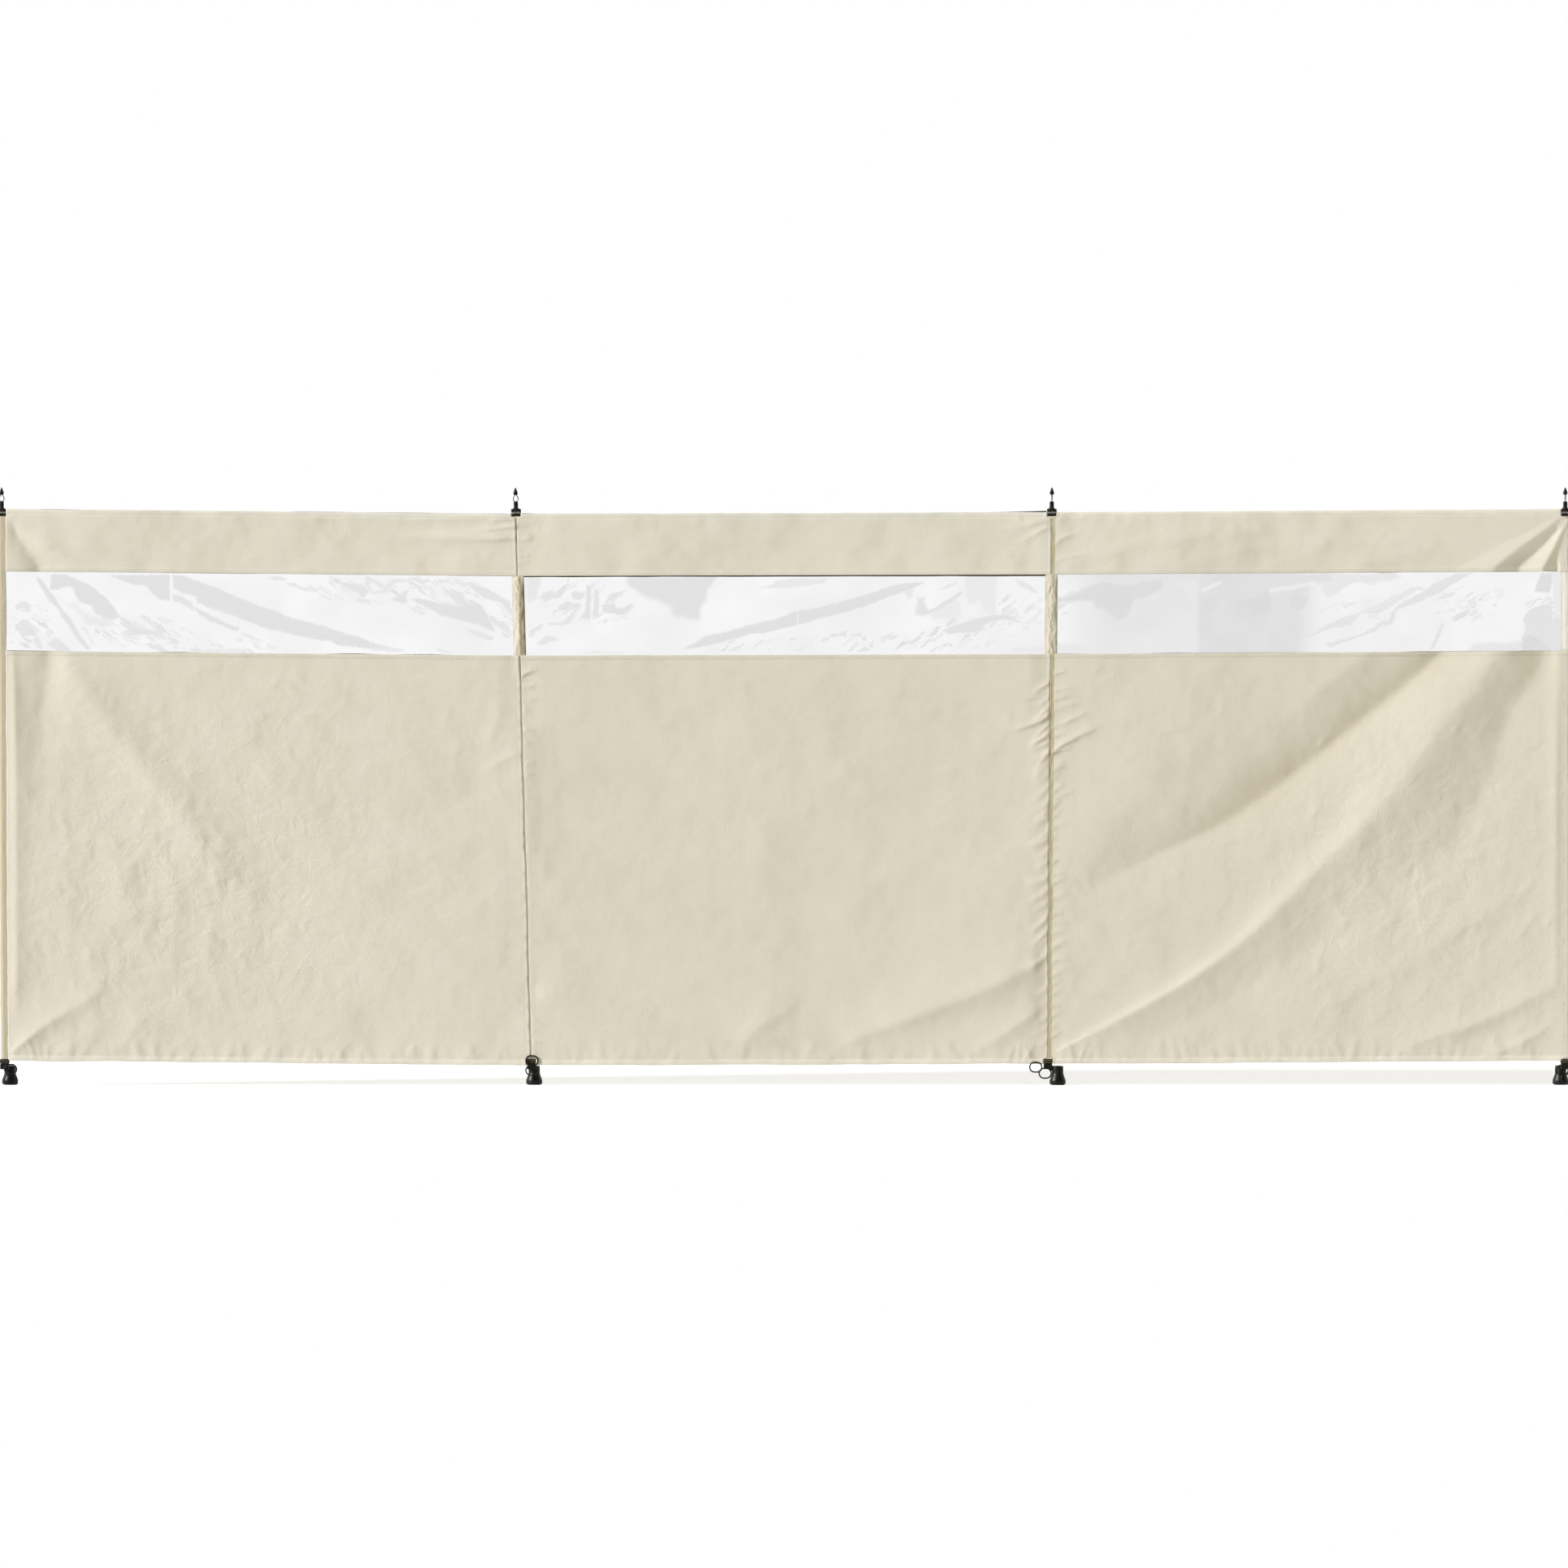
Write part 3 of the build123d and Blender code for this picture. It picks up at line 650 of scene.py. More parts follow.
# %% Creases that are left to chance
# Along the seams: pole, side, lowest and highest start, spacing, length, slant and depth.
SEAM_PUCKERS = [
    (1, -1, 110, 1030, 50, 60, 10, 0.9),
    (1, 1, 110, 980, 42, 40, -10, 1.1),
    (2, -1, 330, 1040, 30, 70, -32, 2.2),
    (2, -1, 110, 330, 34, 50, -20, 1.6),
    (2, 1, 120, 1040, 30, 56, 22, 1.8),
    (3, -1, 120, 1040, 60, 40, 15, 0.5),
    (0, 1, 120, 1040, 50, 40, -18, 0.6),
]
# In the open cloth: bay, how many, direction and its spread in degrees, lowest and highest, the shares of
# the bay that they lie between, and depth.
LOOSE_CREASES = [
    (0, 70, -62, 14, 160, 980, 0.04, 0.5, 0.9),
    (0, 45, -25, 30, 500, 1050, 0.5, 0.97, 0.6),
    (1, 42, 20, 50, 120, 1050, 0.03, 0.97, 0.45),
    (2, 60, 50, 18, 120, 900, 0.5, 0.97, 0.8),
    (2, 30, 40, 25, 500, 1050, 0.05, 0.5, 0.5),
]
small_folds = []
for row in SEAM_PUCKERS:
    small_folds += puckers_up(*row)
for bay in BAYS:
    small_folds += puckers_along(bay, top=False, apart=24, length=70, depth=1.4 if bay == 0 else 1.1)
    small_folds += puckers_along(bay, top=True, apart=62, length=36, depth=0.5)
for row in LOOSE_CREASES:
    small_folds += creases(*row)
print(len(small_folds), "puckers and creases")

# %% Facets at the top right corner
# Five flat facets spread from the top right corner. Each row holds where one of the six creases beside them
# is at each of these heights. The rises are how much the cloth rises across each facet at the lowest height.
FAN_LEVELS = [1309, 1336, 1360, 1405, 1434, 1458]
FAN_CREASES = [(3662, 3713, 3757, 3851, 3905, 3943), (3757, 3790, 3820, 3884, 3920, 3945),
               (3822, 3851, 3878, 3920, 3945, 3948), (3880, 3895, 3908, 3930, 3947, 3949),
               (3921, 3931, 3941, 3946, 3949, 3950), (3950, 3950, 3951, 3952, 3953, 3954)]
FAN_RISES = [5, -11.5, 10.5, -8, 4]


def corner_fan(x, z):
    """Height of the flat facets at the top right corner, where the last guy rope pulls."""
    level = np.clip(z, FAN_LEVELS[0], FAN_LEVELS[-1])
    creases_x = [np.interp(level, FAN_LEVELS, crease) for crease in FAN_CREASES]
    share = (FAN_LEVELS[-1] - level) / (FAN_LEVELS[-1] - FAN_LEVELS[0])
    lift = np.zeros_like(x)
    for left, right, rise in zip(creases_x[:-1], creases_x[1:], FAN_RISES):
        lift += rise * share * np.clip((x - left) / (right - left), 0, 1)
    return lift


print(len(FAN_RISES), "facets in the corner fan")

# %% The whole height
FORWARD = 0.5  # the draped cloth lies this far in front of the flat panels


def from_pole(x, z):
    """Distance along the wall to the nearest pole's axis."""
    return np.min([np.abs(x - axis_x(pole, z)) for pole in POLES], axis=0)


def crumpled(x, z):
    """How crumpled the cloth is: most in the first bay, where it is slack, and less in the last one."""
    first = 0.9 * np.exp(-(((x - 480) / 460) ** 2) - ((z - 520) / 400) ** 2)
    return 0.3 + first + 0.6 * np.exp(-(((x - 3550) / 380) ** 2) - ((z - 500) / 400) ** 2)


def cloth_lift(x, z):
    """How far the draped cloth stands in front of its rest plane, in millimetres."""
    x, z = np.asarray(x, dtype=float), np.asarray(z, dtype=float)
    gap = from_pole(x, z)
    above_window = soft_step(z, 1262, 1304)
    fan = above_window * soft_step(x, 3560, 3640)
    lift = add_folds(large_folds, x, z) * soft_step(gap, 5, 38) * (1 - fan)
    lift += corner_fan(x, z) * above_window * soft_step(gap, 0, 4)
    crumple = 0.8 * creased(x, z, 74, 5) ** 2 + 0.5 * creased(x, z, 33, 6) ** 3
    lift += crumple * crumpled(x, z) * soft_step(gap, 10, 60) * (1 - fan)
    lift += 1.6 * add_folds(small_folds, x, z, reach=3.5) * soft_step(gap, 2, 7)
    lift += add_folds(pole_folds, x, z, reach=4) * soft_step(gap, 0, 3)
    uneven = 2.0 * mottle(x, z, 330, 1) + 0.85 * mottle(x, z, 120, 2) + 0.45 * mottle(x, z, 52, 3)
    uneven += 0.17 * mottle(x, z, 23, 4)
    uneven *= (1 + 0.7 * soft_step(z, 1250, 1320)) * (1 - 0.8 * fan)
    lift += uneven * soft_step(gap, 8, 60)
    foot_ring = (np.abs(x - axis_x(1, 60)) < 34) & (z < 76)  # the second foot's rings press the cloth flat
    lift = np.where(foot_ring, np.minimum(lift, -0.3), lift)
    return np.maximum(lift, -0.4 - 40 * soft_step(gap, 16, 26))  # the cloth stays in front of the sleeves


def cloth_middle(x, z):
    """y of the middle of the draped cloth."""
    return CLOTH_Y - FORWARD - cloth_lift(x, z)


crest = cloth_lift(np.array([3530.0]), np.array([775.0]))[0]
print("the longest fold stands", round(float(crest), 1), "mm out")

# %% [markdown]
# # Cloth panels
# Windbreak cloth is a plain-woven polyester, light and tightly woven, turned over and sewn at every edge.
# Each bay has a tall lower panel and a low upper one, and the window is sewn in between. The panels of two
# bays meet in front of the pole in one seam, so they run on over the sleeve to the pole's axis, where their
# edges turn back into a narrow groove. Where a webbing band grips the pole, the cloth is cut away to let it
# through.

# %% Grid of a panel
GROOVE = 0.35  # half the width of the gap where two panels meet on a pole
BAND_GAP = 11.6  # how far the cloth is cut back beside a band
seam_reaches = {(0, 1): 9.0, (1, -1): GROOVE, (1, 1): GROOVE, (2, -1): GROOVE, (2, 1): GROOVE, (3, -1): -8.0}
foot_band_top = max(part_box(f"foot_band_{pole + 1}")[1][2] for pole in POLES) * 1000
top_band_low = min(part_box(f"top_band_{pole + 1}")[0][2] for pole in POLES) * 1000


def seam_x(pole, side, z):
    """Where a panel's edge is beside a pole: at the seam, or clear of a band."""
    at_band = np.maximum(1 - soft_step(z, foot_band_top, foot_band_top + 4),
                         soft_step(z, top_band_low - 4, top_band_low))
    wander = 1.1 * mottle(z, z * 0, 95, 20 + pole) + 0.6 * mottle(z, z * 0, 37, 30 + pole)
    reach = seam_reaches[pole, side]
    cut_back = (BAND_GAP - min(reach, BAND_GAP)) * at_band
    return axis_x(pole, z) + wander * (1 - at_band) + side * (reach + cut_back)


def graded_columns(coarse, length=1300.0, fine=4.2, near=80.0):
    """Shares of a bay's width, from 0 to 1: close together near both ends, farther apart between."""
    half, step = [0.0, 1.0, 2.2, 4.0, 6.6], fine
    while half[-1] < length / 2:
        half.append(half[-1] + step)
        if half[-1] > near:
            step = min(step * 1.1, coarse)
    half = np.array(half) * (length / 2 / half[-1])
    return np.concatenate([half, length - half[-2::-1]]) / length


def odd_count(levels):
    """The same levels, with one more in the widest gap where their count is even."""
    if len(levels) % 2:
        return levels
    widest = int(np.argmax(np.diff(levels)))
    return np.insert(levels, widest + 1, (levels[widest] + levels[widest + 1]) / 2)


def bay_grid(bay, edge_of, lows, highs, levels, across):
    """x and z of a grid over a bay; levels are shares of its height and across are shares of its width."""
    left = lows[0] + (highs[0] - lows[0]) * levels
    right = lows[1] + (highs[1] - lows[1]) * levels
    x_left, x_right = edge_of(bay, 1, left), edge_of(bay + 1, -1, right)
    x = x_left[:, None] + (x_right - x_left)[:, None] * across
    z = left[:, None] + (right - left)[:, None] * across
    return x, z


RIDGES = {(2, -1): 3.0, (1, -1): 4.0}  # pole and side, and how far from the groove a low ridge runs


def seam_shape(bay, x, z):
    """How the panel's edges turn back beside the poles, forward positive."""
    shape = np.zeros_like(x)
    for pole, side in ((bay, 1), (bay + 1, -1)):
        inward = side * (x - seam_x(pole, side, z))
        shape -= 1.0 * np.clip(1 - inward / 2.6, 0, 1) ** 2
        if (pole, side) in RIDGES:
            shape += 0.7 * np.exp(-(((inward - RIDGES[pole, side]) / 2.6) ** 2))
        if (pole, side) == (2, 1):  # the cloth lies flatter here
            shape -= 0.7 * (1 - soft_step(inward, 6, 11))
    return shape


print("cloth is cut away below", round(foot_band_top), "mm and above", round(top_band_low), "mm")

# %% [markdown]
# ## The finish of the cloth
# The cloth is plain-woven polyester, dyed cream and rolled flat with heat. To the eye it is matt, with a
# slight sheen along the folds, and some light comes through it, which warms its dim sides. Its threads are
# half a millimetre apart, far too fine to see from here. They are drawn four millimetres apart, and faint,
# so that the surface has the grain of cloth in a close view.

# %% Plain-woven cream polyester
THREADS = 4.0


def woven_polyester(name, pale, deep, threads=THREADS, through=0.2):
    """Matt woven cloth that lets some light through. One mark darkens it towards the deep colour, with
    painted shade and some tone, and another pales it, with real paleness and painted light.
    """
    material, tree = blank_material(name)
    place = node(tree, "TexCoord").outputs["Object"]
    patches = node(tree, "TexNoise", {"Vector": place, "Scale": noise_scale(140.0), "Detail": 4.0,
                                      "Roughness": 0.55})
    dyed = node(tree, "MapRange", {0: patches.outputs["Fac"], 1: 0.3, 2: 0.7, 3: 0.0, 4: 0.07})
    # Painted shade: fold valleys, seam grooves and flanks that face away from the sun are darkened towards
    # the deep colour.
    tone_and_painted_shade = node(tree, "Attribute", attribute_name="tone_and_painted_shade")
    depth = node(tree, "Math", {0: dyed, 1: tone_and_painted_shade.outputs["Fac"]}, operation="ADD", use_clamp=True)
    tone = node(tree, "Mix", {0: depth, MIX_A: linear(pale), MIX_B: linear(deep)}, data_type="RGBA")
    # Paler hems and upper panels, and painted light on the sleeve strips beside the films.
    paling_and_painted_light = node(tree, "Attribute", attribute_name="paling_and_painted_light")
    tone = node(tree, "Mix", {0: paling_and_painted_light.outputs["Fac"], MIX_A: tone.outputs[MIXED],
                              MIX_B: linear("#F3EFE4")}, data_type="RGBA")
    wave = {"Vector": place, "Scale": wave_scale(threads), "Distortion": 1.4, "Detail": 2.0,
            "Detail Scale": 2.0}
    upright, level = (node(tree, "TexWave", wave, bands_direction=way) for way in ("X", "Z"))
    slubs = node(tree, "TexNoise", {"Vector": place, "Scale": noise_scale(9.0), "Detail": 5.0,
                                    "Roughness": 0.7})
    # The light rakes from the side and picks out the upright threads, so they are drawn fainter.
    weave = node(tree, "Math", {0: upright.outputs["Fac"], 1: 0.35, 2: level.outputs["Fac"]},
                 operation="MULTIPLY_ADD")
    relief = node(tree, "Math", {0: slubs.outputs["Fac"], 1: 2.2, 2: weave}, operation="MULTIPLY_ADD")
    # Crumples from packing are sharp creases a few centimetres apart: noise folded over at its middle.
    crumple = node(tree, "TexNoise", {"Vector": place, "Scale": noise_scale(44.0), "Detail": 3.0,
                                      "Roughness": 0.5, "Distortion": 0.5})
    crumple = node(tree, "Math", {0: crumple.outputs["Fac"], 1: 0.5}, operation="SUBTRACT")
    crumple = node(tree, "Math", {0: crumple}, operation="ABSOLUTE")
    crumpled_mark = node(tree, "Attribute", attribute_name="crumpled")
    crumple = node(tree, "Math", {0: crumple, 1: crumpled_mark.outputs["Fac"]}, operation="MULTIPLY")
    creased_face = node(tree, "Bump", {"Height": crumple, "Strength": 1.0, "Distance": 0.003}, invert=True)
    bump = node(tree, "Bump", {"Height": relief, "Strength": 0.22, "Distance": 0.00022,
                               "Normal": creased_face})
    front = node(tree, "BsdfPrincipled", {
        "Base Color": tone.outputs[MIXED], "Roughness": 0.86, "Specular IOR Level": 0.2, "Sheen Weight": 0.12,
        "Sheen Roughness": 0.45, "Normal": bump,
    })
    through_tone = node(tree, "Mix", {0: 0.5, MIX_A: tone.outputs[MIXED], MIX_B: linear(deep)},
                        data_type="RGBA")
    glow = node(tree, "BsdfTranslucent", {"Color": through_tone.outputs[MIXED], "Normal": bump})
    mixed = node(tree, "MixShader", {0: through, 1: front, 2: glow})
    node(tree, "OutputMaterial", {"Surface": mixed})
    return material


cream_polyester = woven_polyester("cream_woven_polyester", "#E3DED0", "#B2A77B")
print(cream_polyester.name, "made")

# %% Rows, thickness and marks of a panel
HEM, THIN, TURNED = 10.5, 0.9, 1.5  # width of a hem, cloth thickness, and what the turned hem adds
# Painted shade in streaks beside the middle poles, along the grooves of the seams: pole, side, width and
# darkness.
SEAM_SHADES = ((1, -1, 0.4, 0.45), (1, 1, 0.5, 0.45), (2, -1, 0.3, 0.2), (2, 1, 7.5, 0.7))
UPPER_PALING = (0.14, 0.07, 0.03)  # the upper panels are drawn paler, most of all in the first bay
LOWER_DARKENING = (0.0, 0.045, 0.06)  # the lower panels are drawn a little darker towards the right


def panel_levels(kind, tall, step):
    """Shares of a panel's height: close together at the hems and under the window, where it puckers."""
    near_hems = [0.8, 3, 6, HEM - 1, HEM - 0.2, HEM + 0.6, HEM + 2.4, HEM + 6]
    bottom = near_hems + list(np.arange(HEM + 9, 66, 4.0)) if kind == "lower" else near_hems
    close = tall - 250 if kind == "lower" else 0.0
    puckered = np.linspace(close, tall, int((tall - close) / 4.0) + 1)
    levels = np.concatenate([np.arange(0, close, step), puckered])
    extra = bottom + [tall - level for level in near_hems]
    return odd_count(np.unique(np.round(np.concatenate([levels, extra]), 2))) / tall


def hemmed_thickness(rise, tall):
    """Thickness of a panel: more where its hems are turned over, and rounded off at both edges."""
    bottom_hem = 1 - soft_step(rise, HEM - 0.6, HEM + 0.8)
    top_hem = soft_step(rise, tall - HEM - 0.8, tall - HEM + 0.6)
    thick = THIN + TURNED * np.maximum(bottom_hem, top_hem)
    return thick * (0.35 + 0.65 * soft_step(np.minimum(rise, tall - rise), -0.2, 1.2))


def panel_marks(kind, bay, x, z, lift, outer):
    """How much painted shade and tone, how much paling and how crumpled each place is; outer is the distance
    from the wall's own edge.
    """
    slope = np.gradient(lift, axis=1) / np.gradient(x, axis=1)
    tone_and_painted_shade = np.clip(-lift / 60, 0, 0.16) + np.clip(-slope * 1.5, 0, 0.3)  # painted shade in the valleys and on the flanks that face away from the sun
    # Painted shade in streaks along the seams.
    for pole, side, wide, dark in SEAM_SHADES:
        if pole == bay + (side < 0):
            inward = side * (x - seam_x(pole, side, z))
            streaks = 1 + 0.25 * mottle(x * 4, z, 30, 47)
            tone_and_painted_shade += dark * streaks * (1 - soft_step(inward, wide, wide + 1.8)) * (inward > -5)
    paling_and_painted_light = 0.55 * (1 - soft_step(outer, HEM, HEM + 7)) * (0.8 + 0.4 * mottle(x, z, 40, 44))
    if kind == "upper":
        paling_and_painted_light += UPPER_PALING[bay]
    else:
        tone_and_painted_shade += LOWER_DARKENING[bay]
    return {"tone_and_painted_shade": tone_and_painted_shade, "paling_and_painted_light": paling_and_painted_light, "crumpled": crumpled(x, z)}


print("hems", HEM, "mm wide")

# %% Drape the six panels
def drape(kind, bay, step, coarse):
    """Makes one panel of a bay as a closed sheet with hems, on its folds."""
    name = f"{kind}_cloth_{bay + 1}"
    ends = edge_heights(name)
    tall = ends[0][1] - ends[0][0]
    levels = panel_levels(kind, tall, step)
    lows, highs = [end[0] for end in ends], [end[1] for end in ends]
    x, z = bay_grid(bay, seam_x, lows, highs, levels, graded_columns(coarse))
    rise = levels[:, None] * tall + 0 * x
    outer = rise if kind == "lower" else tall - rise
    edge_wave = 1.1 * mottle(x, 0 * x, 170, 40 + bay) + 0.5 * mottle(x, 0 * x, 55, 50 + bay)
    z = z + edge_wave * np.exp(-outer / 25) * (1 if kind == "lower" else 0.6)
    lift = cloth_lift(x, z)
    thick = hemmed_thickness(rise, tall)
    from_edge = np.minimum(rise, tall - rise)
    stitched = np.exp(-(((from_edge - HEM + 1.6) / 1.1) ** 2)) * 0.5  # the thread sinks into the cloth
    middle = CLOTH_Y - FORWARD - lift - seam_shape(bay, x, z)
    piece = closed_sheet(name + "_draped", x, middle - thick / 2 + stitched * 0.7, middle + thick / 2, z,
                         cream_polyester, "cloth", marks=panel_marks(kind, bay, x, z, lift, outer))
    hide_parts(name)
    return piece, x, z


ROW_STEPS = {"lower": (6.5, 7.5, 6.5), "upper": (4.0, 4.0, 4.0)}
COLUMN_STEPS = (8.0, 9.5, 7.8)
panels = {}
for bay in BAYS:
    for kind, steps in ROW_STEPS.items():
        panels[kind, bay], x, z = drape(kind, bay, steps[bay], COLUMN_STEPS[bay])

# %% [markdown]
# # Windows
# The windows are clear soft vinyl, under half a millimetre thick. It creases when the wall is rolled up for
# carrying, and it keeps those creases: long bands where the roll was flattened, and crowds of crinkles
# beside the poles. A part of the film that is bent away from the sky looks grey, and the rest is nearly
# clear. Each grey facet is chalked as an outline and painted grey into the film's haze, as painted shade,
# and the small crinkles are left to the material.

